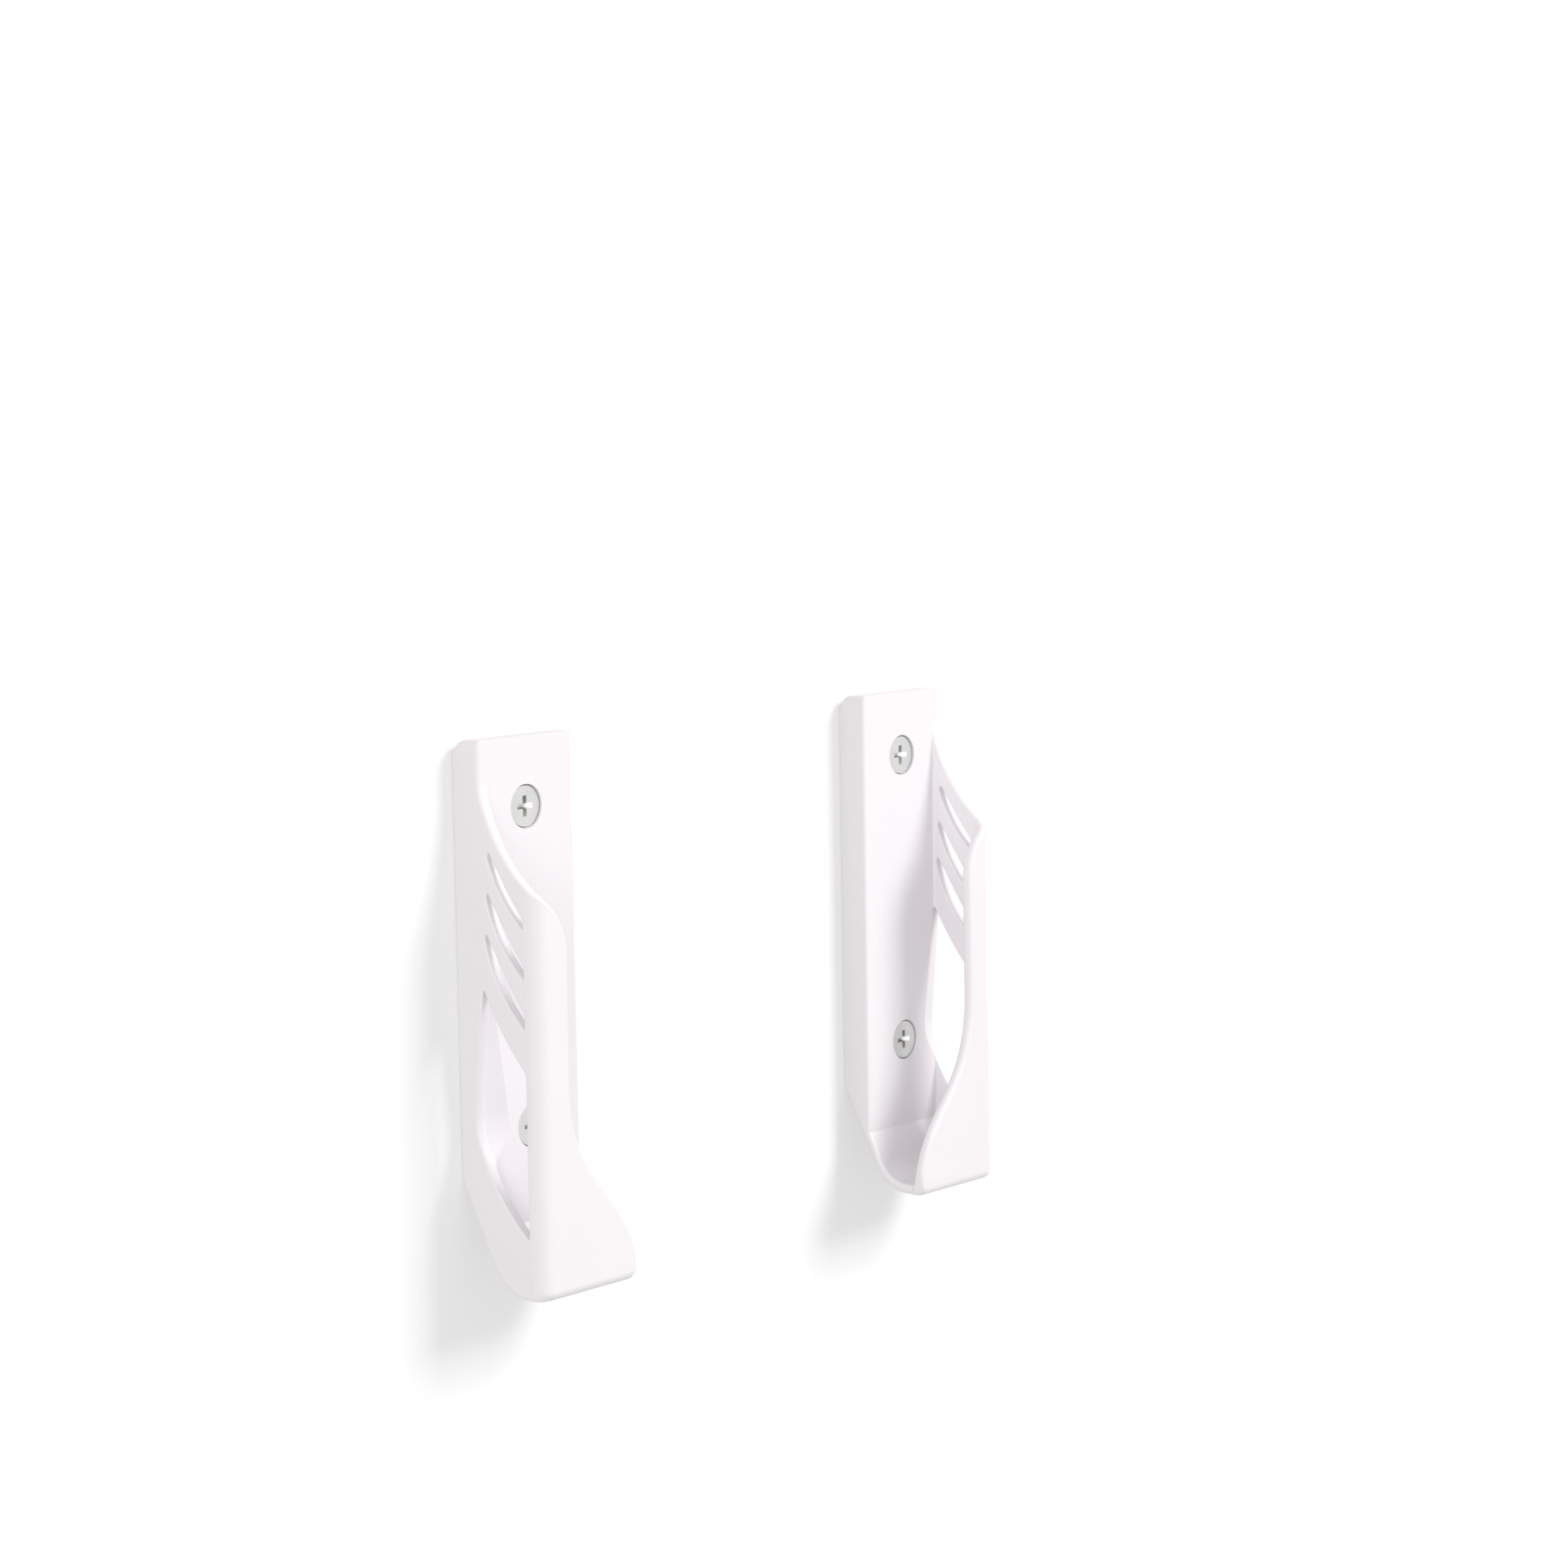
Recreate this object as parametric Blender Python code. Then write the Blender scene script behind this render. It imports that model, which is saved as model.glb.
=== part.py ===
"""Wall mount for a slim device: a mirrored pair of moulded corner brackets and their fixings.

Each bracket hugs one lower corner of the device. It is one moulding: a hollow-backed plate on
the wall, a side wall with three gill slots and a window, a lip in front of the device and a
short foot under it. Foam strips and screws in wall plugs hold the brackets.

World axes: +X right, +Y into the wall, +Z up. The origin is on the wall, midway between the
brackets, level with their lowest edge. A point of a bracket is written (across, out, up):
across runs inward from the bracket's outer face, out runs from the wall into the room.
"""
import bpy
import bmesh
from math import acos, cos, hypot, pi, radians, sin, sqrt, tan
from mathutils import Matrix, Vector
from mathutils.geometry import interpolate_bezier

MM = 0.001

# What the brackets hold
DEVICE_WIDTH = 120.0 * MM
DEVICE_SIDE_CLEARANCE = 1.0 * MM

# Bracket, overall
HEIGHT = 94.0 * MM
WIDTH = 23.0 * MM
DEPTH = 18.8 * MM
WALL = 2.0 * MM
PLATE_DEPTH = 6.0 * MM
CORNER_RADIUS = 3.0 * MM
TOP_RADIUS = 3.0 * MM

# Slanted foot, seen from the side
HEEL_HEIGHT = 18.2 * MM
SOLE_START = 9.3 * MM
HEEL_RADIUS = 4.0 * MM
SOLE_RADIUS = 9.0 * MM
TOE_RADIUS = 1.8 * MM

# Softened edges
RIM_RADIUS = 0.85 * MM
SIDE_EDGE_RADIUS = 0.9 * MM
END_EDGE_RADIUS = 0.6 * MM
FOOT_END_RADIUS = 1.2 * MM
WALL_EDGE_RADIUS = 0.4 * MM
INNER_RADIUS = 0.5 * MM
LEAST_RADIUS = 0.1 * MM

# Rim: down the side wall's front, round the corner and down the lip, unrolled on the outer face
RIM_BEND_HEIGHT = 86.9 * MM
RIM_BEND_HANDLE = 2.4 * MM
SHOULDER_PAST_CORNER = 0.1 * MM
SHOULDER_HEIGHT = 70.3 * MM
SHOULDER_SLOPE_DEG = 38.2
SHOULDER_HANDLE_SIDE = 8.3 * MM
SHOULDER_HANDLE_LIP = 0.8 * MM
LIP_TOP_HEIGHT = 58.0 * MM
LIP_TOP_HANDLE = 8.9 * MM
LIP_WIDTH = 7.6 * MM
LIP_SWEEP_HEIGHT = 36.7 * MM
LIP_DRAFT = -0.2 * MM
LIP_SWEEP_HANDLE = 21.2 * MM
LIP_END_HANDLE = 19.5 * MM
LIP_END_OVERRUN = 0.75 * MM

# Gill slots in the side wall, the top one first
SLOT_COUNT = 3
SLOT_REAR_OUT = 7.9 * MM
SLOT_REAR_HEIGHT = 75.4 * MM
SLOT_REAR_PITCH = 6.9 * MM
SLOT_REAR_DRIFT = 0.45 * MM
SLOT_REAR_WIDTH = 0.8 * MM
SLOT_DROP = 10.7 * MM
SLOT_DROP_GAIN = 1.15 * MM
SLOT_FRONT_HEIGHT = 1.7 * MM
SLOT_FRONT_GAIN = 0.4 * MM
SLOT_UPPER_BOW = 0.25 * MM
SLOT_LOWER_BOW = 0.95 * MM
SLOT_LOWER_BOW_GAIN = 0.2 * MM
SLOT_TIP_TRIM = 0.4 * MM
SLOT_SHOULDER_TRIM = 1.0 * MM

# Window below the slots
WINDOW_TOP_HEIGHT = 52.4 * MM
WINDOW_TOP_OUT = 5.9 * MM
WINDOW_REAR_HEIGHT = 28.0 * MM
WINDOW_REAR_OUT = 3.65 * MM
WINDOW_TIP_HEIGHT = 10.3 * MM
WINDOW_SHOULDER_HEIGHT = 38.7 * MM
WINDOW_LOWER_BOW = 1.5 * MM
WINDOW_UPPER_BOW = 0.7 * MM
WINDOW_TOP_TRIM = 1.2 * MM
WINDOW_REAR_TRIM = 2.8 * MM
WINDOW_CORNER_TRIM = 0.9 * MM
SCOOP_SLOPE_DEG = 32.0
SCOOP_FADE_LENGTH = 6.0 * MM

# Slots and window alike
VENT_FRONT_MARGIN = 0.05 * MM
VENT_RIM_RADIUS = 0.4 * MM

# Hollow behind the plate, with two screw posts
POST_RADIUS = 4.8 * MM
POST_MARGIN = 7.0 * MM
POCKET_CORNER_RADIUS = 2.0 * MM
POCKET_OUTER_WALL = 5.2 * MM
POCKET_INNER_WALL = 3.2 * MM

# Foam strip between the posts
STRIP_SIDE_GAP = 0.6 * MM
STRIP_TO_POST = 1.6 * MM
STRIP_CORNER_RADIUS = 1.5 * MM
SEAT_GAP = 0.3 * MM

# Countersunk screw
SCREW_LENGTH = 30.0 * MM
SCREW_RADIUS = 1.75 * MM
SCREW_HEAD_RADIUS = 3.5 * MM
SCREW_HEAD_EDGE = 0.3 * MM
SCREW_POINT_LENGTH = 4.0 * MM
SCREW_SINK = 0.4 * MM
RECESS_WIDTH = 0.9 * MM
RECESS_SPAN = 3.6 * MM
RECESS_DEPTH = 1.5 * MM
RECESS_TAPER = 0.5

# Wall plug
PLUG_LENGTH = 28.0 * MM
PLUG_RADIUS = 3.0 * MM
PLUG_COLLAR_RADIUS = 4.2 * MM
PLUG_COLLAR_THICKNESS = 0.8 * MM
PLUG_BARB_COUNT = 4
PLUG_BARB_DEPTH = 0.35 * MM
PLUG_BARB_RISE_SHARE = 0.3
PLUG_TIP_LENGTH = 5.4 * MM
PLUG_SPLIT_START = 9.0 * MM
PLUG_SPLIT_WIDTH = 1.0 * MM

# Smoothness of curved faces
CORNER_STEPS = 6
EDGE_STEPS = 3
ROUND_STEPS = 4
SOLE_STEPS = 8
RIM_STEPS = 12
RIM_FOOT_STEPS = 16
VENT_STEPS = 10
POST_SEGMENTS = 32
FIXING_SEGMENTS = 20
ARC_SHARE_OF_EDGE = 0.96
LEAST_MITRE = 0.5
SHARP_FROM_DEG = 35
WELD_DISTANCE = 0.02 * MM

HALF_SPAN = DEVICE_WIDTH / 2 + DEVICE_SIDE_CLEARANCE + WALL
LIP_BACK = DEPTH - WALL
VENT_FRONT_OUT = DEPTH - CORNER_RADIUS - VENT_RIM_RADIUS - VENT_FRONT_MARGIN
POST_ACROSS = WIDTH / 2
PLATE_SKIN_BACK = PLATE_DEPTH - WALL
POCKET_BOTTOM = HEEL_HEIGHT + WALL
POCKET_TOP = HEIGHT - TOP_RADIUS - WALL
LOW_POST_HEIGHT = POCKET_BOTTOM + POST_MARGIN
HIGH_POST_HEIGHT = POCKET_TOP - POST_MARGIN

for old in list(bpy.data.objects):
    bpy.data.objects.remove(old, do_unlink=True)


def make_material(name, colour, roughness, metallic=0.0):
    """A Principled material of one colour."""
    material = bpy.data.materials.new(name)
    material.use_nodes = True
    shader = material.node_tree.nodes["Principled BSDF"]
    shader.inputs["Base Color"].default_value = (*colour, 1.0)
    shader.inputs["Roughness"].default_value = roughness
    shader.inputs["Metallic"].default_value = metallic
    return material


WHITE_PLASTIC = make_material("satin_white_plastic", (0.83, 0.81, 0.82), 0.38)
FOAM = make_material("foam_strip", (0.62, 0.62, 0.60), 0.9)
STEEL = make_material("zinc_plated_steel", (0.70, 0.70, 0.71), 0.3, 1.0)
NYLON = make_material("grey_nylon", (0.45, 0.46, 0.48), 0.5)


def left_point(across, out, up):
    """World place of a point of the left bracket."""
    return Vector((across - HALF_SPAN, -out, up))


def object_from(name, mesh, material):
    """Links a mesh as a named object with one material."""
    mesh.name = name
    mesh.materials.clear()
    mesh.materials.append(material)
    part = bpy.data.objects.new(name, mesh)
    bpy.context.collection.objects.link(part)
    return part


def mesh_from(rings, caps=None):
    """Closed mesh through rings with equal point counts. caps lists the faces that close an end."""
    bm = bmesh.new()
    rows = [[bm.verts.new(point) for point in ring] for ring in rings]
    count = len(rows[0])
    for low, high in zip(rows, rows[1:]):
        for i in range(count):
            j = (i + 1) % count
            bm.faces.new((low[i], low[j], high[j], high[i]))
    for row in (rows[0], rows[-1]):
        for face in caps or [range(count)]:
            bm.faces.new([row[i] for i in face])
    bmesh.ops.recalc_face_normals(bm, faces=bm.faces)
    mesh = bpy.data.meshes.new("shape")
    bm.to_mesh(mesh)
    bm.free()
    return mesh


def cut(part, cutters, operation="DIFFERENCE"):
    """Applies one exact Boolean per cutter, then deletes the cutters."""
    for mesh in cutters:
        tool = bpy.data.objects.new("cutter", mesh)
        bpy.context.collection.objects.link(tool)
        step = part.modifiers.new("cut", "BOOLEAN")
        step.operation = operation
        step.solver = "EXACT"
        step.object = tool
        bpy.context.view_layer.update()
        graph = bpy.context.evaluated_depsgraph_get()
        result = bpy.data.meshes.new_from_object(part.evaluated_get(graph))
        part.modifiers.clear()
        part.data = result
        bpy.data.objects.remove(tool, do_unlink=True)


def weld(part):
    """Merges corners that lie closer together than any real edge is long."""
    bm = bmesh.new()
    bm.from_mesh(part.data)
    bmesh.ops.remove_doubles(bm, verts=bm.verts, dist=WELD_DISTANCE)
    bmesh.ops.dissolve_degenerate(bm, edges=bm.edges, dist=WELD_DISTANCE)
    bmesh.ops.triangulate(bm, faces=bm.faces)
    bm.to_mesh(part.data)
    bm.free()


def edge_inset(distance, radius):
    """How far a face stands back at this distance from an end whose edge has this radius."""
    if distance >= radius:
        return 0.0
    return radius - sqrt(radius * radius - (radius - distance) ** 2)


def inset_corners(corners, insets):
    """Corners of a convex outline after each edge, from corner i to i+1, moves inward."""
    lines = []
    count = len(corners)
    for i in range(count):
        start = Vector(corners[i])
        run = (Vector(corners[(i + 1) % count]) - start).normalized()
        inward = Vector((run.y, -run.x))
        lines.append((start + inward * insets[i], run))
    moved = []
    for i in range(count):
        (a, p), (b, q) = lines[i - 1], lines[i]
        cross = p.x * q.y - p.y * q.x
        t = ((b.x - a.x) * q.y - (b.y - a.y) * q.x) / cross
        moved.append(a + p * t)
    return moved


def round_corners(corners, radii, steps):
    """Outline with each corner replaced by an arc of its radius, which shrinks where an edge is too short."""
    count = len(corners)
    corners = [Vector(corner) for corner in corners]
    halves = []
    for i in range(count):
        before = corners[i - 1] - corners[i]
        after = corners[(i + 1) % count] - corners[i]
        halves.append(before.angle(after) / 2)
    reach = [max(radii[i], LEAST_RADIUS) / tan(halves[i]) for i in range(count)]
    room = [1.0] * count
    for i in range(count):
        j = (i + 1) % count
        share = (corners[j] - corners[i]).length * ARC_SHARE_OF_EDGE / (reach[i] + reach[j])
        room[i] = min(room[i], share)
        room[j] = min(room[j], share)
    outline = []
    for i in range(count):
        here = corners[i]
        before = (corners[i - 1] - here).normalized()
        after = (corners[(i + 1) % count] - here).normalized()
        tangent = reach[i] * room[i]
        centre = here + (before + after).normalized() * tangent / cos(halves[i])
        start = here + before * tangent - centre
        sweep = pi - 2 * halves[i]
        turn = 1 if before.x * after.y - before.y * after.x < 0 else -1
        for k in range(steps[i] + 1):
            angle = turn * sweep * k / steps[i]
            spun = Vector((start.x * cos(angle) - start.y * sin(angle),
                           start.x * sin(angle) + start.y * cos(angle)))
            outline.append(centre + spun)
    return outline


def foot_slope():
    """Angle of the slanted foot from the level."""
    return acos(SOLE_START / hypot(SOLE_START, HEEL_HEIGHT))


def body_section(across):
    """Side outline of the solid body, as (out, up), at one place across."""
    to_side = across
    to_end = WIDTH - across
    side = edge_inset(to_side, SIDE_EDGE_RADIUS)
    end = edge_inset(to_end, END_EDGE_RADIUS)
    front = edge_inset(to_side, CORNER_RADIUS) + end
    rear = edge_inset(to_side, WALL_EDGE_RADIUS) + edge_inset(to_end, WALL_EDGE_RADIUS)
    under = side + edge_inset(to_end, FOOT_END_RADIUS)
    corners = [(0, HEIGHT), (DEPTH, HEIGHT), (DEPTH, 0), (SOLE_START, 0), (0, HEEL_HEIGHT)]
    insets = [side + end, front, under, under, rear]
    radii = [TOP_RADIUS - side, INNER_RADIUS, TOE_RADIUS - side, SOLE_RADIUS - under, HEEL_RADIUS - under]
    steps = [ROUND_STEPS, 1, ROUND_STEPS, SOLE_STEPS, ROUND_STEPS]
    return round_corners(inset_corners(corners, insets), radii, steps)


def body_stations():
    """Places across at which the body's outline is drawn, closer together at its edges."""
    corner = [CORNER_RADIUS * (1 - cos(pi / 2 * k / CORNER_STEPS)) for k in range(CORNER_STEPS + 1)]
    edge = [SIDE_EDGE_RADIUS * (1 - cos(pi / 2 * k / EDGE_STEPS)) for k in range(1, EDGE_STEPS)]
    end = [WIDTH - FOOT_END_RADIUS * (1 - cos(pi / 2 * k / EDGE_STEPS)) for k in range(EDGE_STEPS + 1)]
    return sorted(corner + edge + end)


def body_mesh():
    """Solid block with the bracket's outer form."""
    rings = []
    for across in body_stations():
        rings.append([left_point(across, out, up) for out, up in body_section(across)])
    return mesh_from(rings)


def cavity_mesh():
    """Space for the device, open at the top and towards the other bracket."""
    slope = foot_slope()
    rise = WALL / cos(slope)
    heel_up = HEEL_HEIGHT + rise - PLATE_DEPTH * tan(slope)
    sole_out = (HEEL_HEIGHT + rise - WALL) / tan(slope)
    above = HEIGHT + WALL
    corners = [(PLATE_DEPTH, above), (LIP_BACK, above), (LIP_BACK, WALL), (sole_out, WALL), (PLATE_DEPTH, heel_up)]
    inner_corner = CORNER_RADIUS - WALL
    starts = [inner_corner * (1 - cos(pi / 2 * k / EDGE_STEPS)) for k in range(EDGE_STEPS + 1)]
    flare = [END_EDGE_RADIUS * sin(pi / 2 * k / EDGE_STEPS) for k in range(EDGE_STEPS + 1)]
    rings = []
    for start in starts:
        front = edge_inset(start, inner_corner)
        low = edge_inset(start, INNER_RADIUS)
        insets = [0.0, front, low, low, low]
        rings.append((WALL + start, insets))
    for length in flare:
        grow = -edge_inset(END_EDGE_RADIUS - length, END_EDGE_RADIUS)
        rings.append((WIDTH - END_EDGE_RADIUS + length, [0.0, 0.0, grow, grow, grow]))
    rings.append((WIDTH + WALL, [0.0, 0.0, grow, grow, grow]))
    radii = [INNER_RADIUS, INNER_RADIUS, INNER_RADIUS, SOLE_RADIUS - WALL, INNER_RADIUS]
    steps = [1, 1, 1, SOLE_STEPS, EDGE_STEPS]
    sections = []
    for across, insets in rings:
        outline = round_corners(inset_corners(corners, insets), radii, steps)
        sections.append([left_point(across, out, up) for out, up in outline])
    return mesh_from(sections)


def curve(start, start_handle, end_handle, end, steps):
    """Points of a cubic curve in two dimensions, its end left out."""
    knots = [Vector((x, y, 0)) for x, y in (start, start_handle, end_handle, end)]
    return [point.xy for point in interpolate_bezier(*knots, steps + 1)][:-1]


ARC_START = DEPTH - CORNER_RADIUS
ARC_END = ARC_START + CORNER_RADIUS * pi / 2


def unrolled_across(across):
    """Distance along the outer face from the wall to a place on the lip."""
    return ARC_END + across - CORNER_RADIUS


def rolled(along, deep, up):
    """Folds a point of the unrolled outer face round the corner. deep runs into the wall's thickness."""
    if along <= ARC_START:
        return left_point(deep, along, up)
    if along >= ARC_END:
        return left_point(along - ARC_END + CORNER_RADIUS, DEPTH - deep, up)
    angle = (along - ARC_START) / CORNER_RADIUS
    radius = CORNER_RADIUS - deep
    return left_point(CORNER_RADIUS - radius * cos(angle), ARC_START + radius * sin(angle), up)


def rim_curve():
    """The rim, as (along, up), from the side wall's top to the lip's foot."""
    slope = radians(SHOULDER_SLOPE_DEG)
    fall = Vector((cos(slope), -sin(slope)))
    bend = Vector((PLATE_DEPTH, RIM_BEND_HEIGHT))
    shoulder = Vector((ARC_START + SHOULDER_PAST_CORNER, SHOULDER_HEIGHT))
    lip_top = Vector((unrolled_across(LIP_WIDTH), LIP_TOP_HEIGHT))
    sweep = Vector((unrolled_across(LIP_WIDTH + LIP_DRAFT), LIP_SWEEP_HEIGHT))
    foot = Vector((unrolled_across(WIDTH + LIP_END_OVERRUN), -WALL))
    points = curve(bend, bend - Vector((0, RIM_BEND_HANDLE)),
                   shoulder - fall * SHOULDER_HANDLE_SIDE, shoulder, RIM_STEPS)
    points += curve(shoulder, shoulder + fall * SHOULDER_HANDLE_LIP,
                    lip_top + Vector((0, LIP_TOP_HANDLE)), lip_top, RIM_STEPS)
    points += curve(sweep, sweep - Vector((0, LIP_SWEEP_HANDLE)),
                    foot + Vector((0, LIP_END_HANDLE)), foot, RIM_FOOT_STEPS)
    return points + [foot]


def outward_normals(points, closed):
    """Unit normals on the left of a run of points, averaged at each point."""
    normals = []
    count = len(points)
    for i in range(count):
        before = points[i - 1] if closed or i > 0 else points[i]
        after = points[(i + 1) % count] if closed or i < count - 1 else points[i]
        a = points[i] - before
        b = after - points[i]
        a = a.normalized() if a.length > 0 else b.normalized()
        b = b.normalized() if b.length > 0 else a
        mean = Vector((-a.y - b.y, a.x + b.x)).normalized()
        normals.append(mean / max(LEAST_MITRE, mean.dot(Vector((-a.y, a.x)))))
    return normals


def rounded_layers(radius):
    """Depths into the wall's thickness, with how far a cut is widened there, outside and inside."""
    layers = [(-WALL, radius, 0.0)]
    for k in range(EDGE_STEPS + 1):
        deep = radius * (1 - cos(pi / 2 * k / EDGE_STEPS))
        layers.append((deep, edge_inset(deep, radius), 0.0))
    for k in range(EDGE_STEPS + 1):
        left = radius * (1 - sin(pi / 2 * k / EDGE_STEPS))
        layers.append((WALL - left, 0.0, edge_inset(left, radius)))
    layers.append((WALL + INNER_RADIUS, 0.0, radius))
    return layers


def clear_of_plate(out):
    """Share of the inner rounding that a cut gets: none beside the plate, all of it two walls in front."""
    return min(1.0, max(0.0, (out - PLATE_DEPTH) / (2 * WALL)))


def rim_cutter():
    """Everything in front of and above the rim, as a sheet folded round the corner."""
    rim = rim_curve()
    normals = outward_normals(rim, closed=False)
    top = HEIGHT + WALL
    far = unrolled_across(WIDTH) + 2 * WALL
    last_folded = max(i for i, point in enumerate(rim) if point.x < ARC_END) + 1
    rings = []
    for deep, outer, inner in rounded_layers(RIM_RADIUS):
        row = [point - normal * (outer + inner * clear_of_plate(point.x)) for point, normal in zip(rim, normals)]
        ring = [rolled(point.x, deep, point.y) for point in row]
        ring += [rolled(far, deep, -WALL), rolled(far, deep, top)]
        ring += [rolled(row[i].x, deep, top) for i in range(last_folded, -1, -1)]
        rings.append(ring)
    count = len(rings[0])
    strips = [(i, i + 1, count - 2 - i, count - 1 - i) for i in range(last_folded)]
    sheet = list(range(last_folded, count - last_folded))
    return mesh_from(rings, caps=strips + [sheet])


def trim(points, length):
    """Takes a length off the start of a run of points."""
    points = list(points)
    while (points[1] - points[0]).length < length:
        length -= (points[1] - points[0]).length
        points.pop(0)
    points[0] = points[0] + (points[1] - points[0]).normalized() * length
    return points


def length_of(run):
    """Length along a run of points."""
    return sum((b - a).length for a, b in zip(run, run[1:]))


def chain(runs, trims):
    """Joins runs that meet at corners into one outline. Each corner, at its run's start, is rounded over its trim."""
    limits = [ARC_SHARE_OF_EDGE / 2 * length_of(run) for run in runs]
    trims = [min(trim_length, limits[i], limits[i - 1]) for i, trim_length in enumerate(trims)]
    outline = []
    for i, run in enumerate(runs):
        j = (i + 1) % len(runs)
        corner = run[-1]
        run = trim(run, trims[i])
        run = trim(run[::-1], trims[j])[::-1]
        following = trim(runs[j], trims[j])[0]
        outline += run
        for k in range(1, ROUND_STEPS):
            t = k / ROUND_STEPS
            outline.append(run[-1] * (1 - t) ** 2 + corner * 2 * t * (1 - t) + following * t ** 2)
    return outline


def bowed(start, end, bow):
    """Points of an arc-like curve from start to end that sags to its left by bow at the middle."""
    run = end - start
    sag = Vector((-run.y, run.x)).normalized() * bow
    middle = (start + end) / 2 + sag * 2
    return [start * (1 - t) ** 2 + middle * 2 * t * (1 - t) + end * t ** 2
            for t in (k / VENT_STEPS for k in range(VENT_STEPS + 1))]


def scooped(out, deep):
    """Moves a window point forward inside the side wall, so that the plate rises smoothly beside the window."""
    share = min(1.0, max(0.0, (PLATE_DEPTH + SCOOP_FADE_LENGTH - out) / SCOOP_FADE_LENGTH))
    return out + max(0.0, deep - WALL) * tan(radians(SCOOP_SLOPE_DEG)) * share


def side_cutter(outline, far=None):
    """Cutter through the side wall, widened at both faces so that its rim comes out rounded.

    With far it goes on that deep into the plate as a scoop.
    """
    if sum(a.x * b.y - b.x * a.y for a, b in zip(outline, outline[1:] + outline[:1])) > 0:
        outline = outline[::-1]
    normals = outward_normals(outline, closed=True)
    layers = rounded_layers(VENT_RIM_RADIUS)
    if far:
        layers.append((far, *layers[-1][1:]))
    rings = []
    for deep, outer, inner in layers:
        ring = []
        for point, normal in zip(outline, normals):
            out, up = point + normal * (outer + inner * clear_of_plate(point.x))
            ring.append(left_point(deep, scooped(out, deep) if far else out, up))
        rings.append(ring)
    return mesh_from(rings)


def slot_outline(index):
    """One gill slot, as (out, up): narrow at the rear, swelling below, and cut off upright at the front."""
    rear = Vector((SLOT_REAR_OUT - SLOT_REAR_DRIFT * index, SLOT_REAR_HEIGHT - SLOT_REAR_PITCH * index))
    front = Vector((VENT_FRONT_OUT, rear.y - SLOT_DROP - SLOT_DROP_GAIN * index))
    toe = front - Vector((0, SLOT_FRONT_HEIGHT + SLOT_FRONT_GAIN * index))
    heel = rear - Vector((SLOT_REAR_WIDTH / 2, SLOT_REAR_WIDTH))
    runs = [bowed(rear, front, -SLOT_UPPER_BOW), [front, toe],
            bowed(toe, heel, SLOT_LOWER_BOW + SLOT_LOWER_BOW_GAIN * index), [heel, rear]]
    return chain(runs, [SLOT_TIP_TRIM, SLOT_SHOULDER_TRIM, SLOT_TIP_TRIM, SLOT_TIP_TRIM])


def window_outline():
    """The large window, as (out, up)."""
    top = Vector((WINDOW_TOP_OUT, WINDOW_TOP_HEIGHT))
    rear = Vector((WINDOW_REAR_OUT, WINDOW_REAR_HEIGHT))
    tip = Vector((VENT_FRONT_OUT, WINDOW_TIP_HEIGHT))
    shoulder = Vector((VENT_FRONT_OUT, WINDOW_SHOULDER_HEIGHT))
    runs = [[top, rear], bowed(rear, tip, -WINDOW_LOWER_BOW),
            [tip, shoulder], bowed(shoulder, top, WINDOW_UPPER_BOW)]
    return chain(runs, [WINDOW_TOP_TRIM, WINDOW_REAR_TRIM, WINDOW_CORNER_TRIM, WINDOW_CORNER_TRIM])


def prism(outline, near, far):
    """Straight prism of an (across, up) outline between two distances out from the wall."""
    return mesh_from([[left_point(across, out, up) for across, up in outline] for out in (near, far)])


def turned(profile, height, segments):
    """Solid turned about an axis square to the wall. profile lists (radius, out): from axis to axis, or a ring."""
    bm = bmesh.new()
    rows = []
    for radius, out in profile:
        if radius == 0:
            rows.append([bm.verts.new(left_point(POST_ACROSS, out, height))])
            continue
        ring = []
        for k in range(segments):
            angle = 2 * pi * k / segments
            place = left_point(POST_ACROSS + radius * cos(angle), out, height + radius * sin(angle))
            ring.append(bm.verts.new(place))
        rows.append(ring)
    if len(rows[0]) > 1:
        rows.append(rows[0])
    for a, b in zip(rows, rows[1:]):
        for k in range(segments):
            j = (k + 1) % segments
            loop = [a[k % len(a)], a[j % len(a)], b[j % len(b)], b[k % len(b)]]
            bm.faces.new(list(dict.fromkeys(loop)))
    bmesh.ops.recalc_face_normals(bm, faces=bm.faces)
    mesh = bpy.data.meshes.new("turned")
    bm.to_mesh(mesh)
    bm.free()
    return mesh


def pocket_cutter():
    """Hollow behind the plate's skin, open to the wall."""
    corners = [(POCKET_OUTER_WALL, POCKET_TOP), (WIDTH - POCKET_INNER_WALL, POCKET_TOP),
               (WIDTH - POCKET_INNER_WALL, POCKET_BOTTOM), (POCKET_OUTER_WALL, POCKET_BOTTOM)]
    outline = round_corners(corners, [POCKET_CORNER_RADIUS] * 4, [ROUND_STEPS] * 4)
    return prism(outline, -WALL, PLATE_SKIN_BACK)


def screw_hole(height):
    """Clearance hole with a countersink in the plate's front."""
    bore = SCREW_RADIUS + SEAT_GAP
    head_face = PLATE_DEPTH - SCREW_SINK
    wide = SCREW_HEAD_RADIUS + SEAT_GAP
    cone_top = head_face - SCREW_HEAD_EDGE
    cone_end = cone_top - (wide - bore)
    profile = [(0, -WALL), (bore, -WALL), (bore, cone_end), (wide, cone_top), (wide, PLATE_DEPTH + WALL),
               (0, PLATE_DEPTH + WALL)]
    return turned(profile, height, POST_SEGMENTS)


def screw_post(height):
    """Round post from the plate's skin back to the wall."""
    overlap = WALL / 2
    profile = [(0, 0), (POST_RADIUS, 0), (POST_RADIUS, PLATE_SKIN_BACK + overlap), (0, PLATE_SKIN_BACK + overlap)]
    return turned(profile, height, POST_SEGMENTS)


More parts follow.
